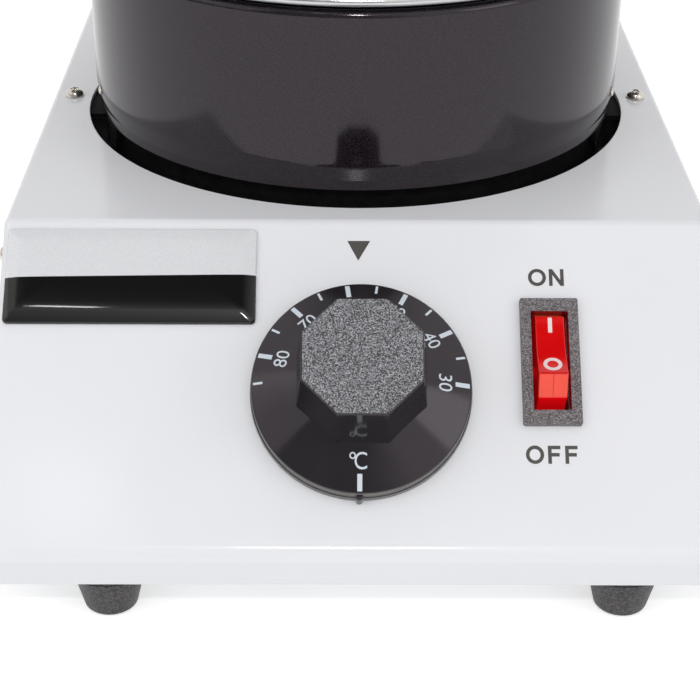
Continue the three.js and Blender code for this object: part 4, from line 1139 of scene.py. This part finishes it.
# Painted light: each lens glows with no lamp inside. The ends glow orange as a painted highlight,
# and the shaded skirt glows most.
red_lens = lens("red_lens", (0.50, 0.0005, 0.001), (0.60, 0.001, 0.002), (1.0, 0.0, 0.002, 1), 0.13)
lit_end = lens("lit_end", (0.62, 0.032, 0.014), (0.74, 0.045, 0.022), (1.0, 0.12, 0.05, 1), 0.24)
lit_skirt = lens(
    "lit_skirt", (0.50, 0.001, 0.002), (0.62, 0.002, 0.004), (1.0, 0.003, 0.006, 1), 0.33,
)
dressed(cap, red_lens, "rocker", "red_lens", "rocker")
for material in (lit_end, painted_red_glow, lit_skirt):
    cap.data.materials.append(material)
for face in cap.data.polygons:
    x, y, z = face.center
    if abs(y) > ridge * 1.03 and abs(face.normal.x) < 0.5:
        if z <= shoulder_rise + 0.0003:
            face.material_index = 3
        else:
            face.material_index = 2 if abs(x) < seam else 1
line_mark = moved(flat_mark("line", 0.001, 0.0037, 0.0001, 2, cuts=4), at(0, 0.0060, 0))
ring = moved(ring_mark("ring", 0.00225, 0.00205, 0.0009), at(0, -0.00505, 0))
rocker_print = inked([line_mark, ring], cap)
rocker_place = switch_place @ at(0, 0, -pin_deep) @ Matrix.Rotation(-on_tilt, 4, "X")
moved(cap, rocker_place)
moved(rocker_print, rocker_place)
dressed(rocker_print, ink("switch_ink", (0.86, 0.70, 0.70), 0.3), "rocker", "white_paint")


# Badge: a thin bare plate, silver above and black below, under a domed pour of clear resin. It is
# stuck to the slope.
badge_wide, badge_long, badge_high = 0.0612, 0.0249, 0.0017
badge_u, badge_v = -0.0860 + badge_wide / 2, 0.0026 + badge_long / 2
silver_edge, silver_turn = 0.0155, math.radians(1.1)
badge = slab("badge", oblong(badge_wide, badge_long, 0.0012, 6), 0, 0.0002)
pour = [(0, 0.0002), (0.0001, 0.0006), (0.0004, 0.00085), (0.0027, 0.0014), (0.0036, 0.00153),
        (0.0055, 0.00162), (0.0095, badge_high)]
edit(badge)
pick(badge, "faces", lambda f: f.normal.z > 0.9)
for (d0, z0), (d1, z1) in zip(pour, pour[1:]):
    pull((0, 0, z1 - z0))
    wide, long = badge_wide - 2 * d0, badge_long - 2 * d0
    scaled((badge_wide - 2 * d1) / wide, (badge_long - 2 * d1) / long, z1)
done()
smoothed(badge, 60)
moved(badge, at_slope(badge_u, badge_v, gap))
badge_resin = new_material("badge_resin")
tuned(badge_resin, {
    "Roughness": 0.35, "Specular IOR Level": 0.1, "Coat Weight": 1.0, "Coat Roughness": 0.05,
})
tree = badge_resin.node_tree
place = tree.nodes.new("ShaderNodeMapping")
place.vector_type = "TEXTURE"
place.inputs["Location"].default_value = at_slope(badge_u, silver_edge).to_translation()
place.inputs["Rotation"].default_value = (tilt, 0, silver_turn)
tree.links.new(on_piece(tree), place.inputs["Vector"])
parts = tree.nodes.new("ShaderNodeSeparateXYZ")
tree.links.new(place.outputs["Vector"], parts.inputs[0])
split = between(tree, parts.outputs["Y"], 0, 1, -0.00005, 0.00005)
flake = cells(tree, 5000, place.outputs["Vector"])
silver = shaded(tree, flake, (0.67, 0.675, 0.69), (0.75, 0.755, 0.77))
coloured(tree, split, (0.002, 0.002, 0.0025), silver)
dressed(badge, badge_resin, "housing", "badge_resin", "badge_plate")


# Power inlet: a black moulded socket with a flange, screwed on the back panel from outside, with
# three nickel-plated blades standing in it.
inlet_high, inlet_screw_x = 0.0024, 0.020
socket_x, socket_y, socket_cut, socket_low = 0.012, 0.008, 0.0045, -0.0136
slot_x, slot_y = 0.0013, 0.0023
inlet_place = at(0.046, rear_face + gap, 0.030) @ Matrix.Rotation(math.pi, 4, "Z")
inlet_place = inlet_place @ Matrix.Rotation(math.pi / 2, 4, "X")
inlet = slab("inlet_body", oblong(0.050, 0.024, 0.004, 8), 0, inlet_high)
eased(inlet, inlet_high, 0.0005, 3)
fused(inlet, slab("shell", oblong(0.0275, 0.0195, 0.001, 3), -0.0161, 0.0012))
cut_with(inlet, slab("socket", rounded([
    (socket_x, -socket_y, 0.001), (socket_x, socket_y - socket_cut, 0.0006),
    (socket_x - socket_cut, socket_y, 0.0006), (-socket_x + socket_cut, socket_y, 0.0006),
    (-socket_x, socket_y - socket_cut, 0.0006), (-socket_x, -socket_y, 0.001),
], 4, True), socket_low, 0.006))
for x, y in ((-0.007, 0.002), (0.007, 0.002), (0, -0.002)):
    slot = new_block("slot", (x - slot_x, y - slot_y, -0.02), (x + slot_x, y + slot_y, -0.01))
    cut_with(inlet, slot)
for hand, side in hands:
    sink = turned("sink", [
        (0, -0.004), (0.0017, -0.004), (0.0017, 0.0008), (0.003, inlet_high), (0.003, 0.004),
        (0, 0.004),
    ], 32)
    cut_with(inlet, moved(sink, at(side * inlet_screw_x, 0, 0)))
smoothed(inlet, 30)
moved(inlet, inlet_place)
dressed(inlet, glossy_black, "housing", "black_plastic", "power_inlet")
for kind in ("live", "neutral", "earth"):
    redo(f"inlet_blade_{kind}", nickel)
sunk = turned("sunk_screw", [
    (0, -0.0069), (0.0008, -0.0069), (0.0014, -0.0062), (0.0014, -0.0016), (0.0027, -0.0001),
    (0.0026, 0), (0, 0),
], 48)
screwed_in(crossed(sunk, 0.0015, 0.0003, -0.001, 0.001), [
    (f"inlet_screw_{hand}", inlet_place @ at(side * inlet_screw_x, 0, inlet_high), 0.4)
    for hand, side in hands
])
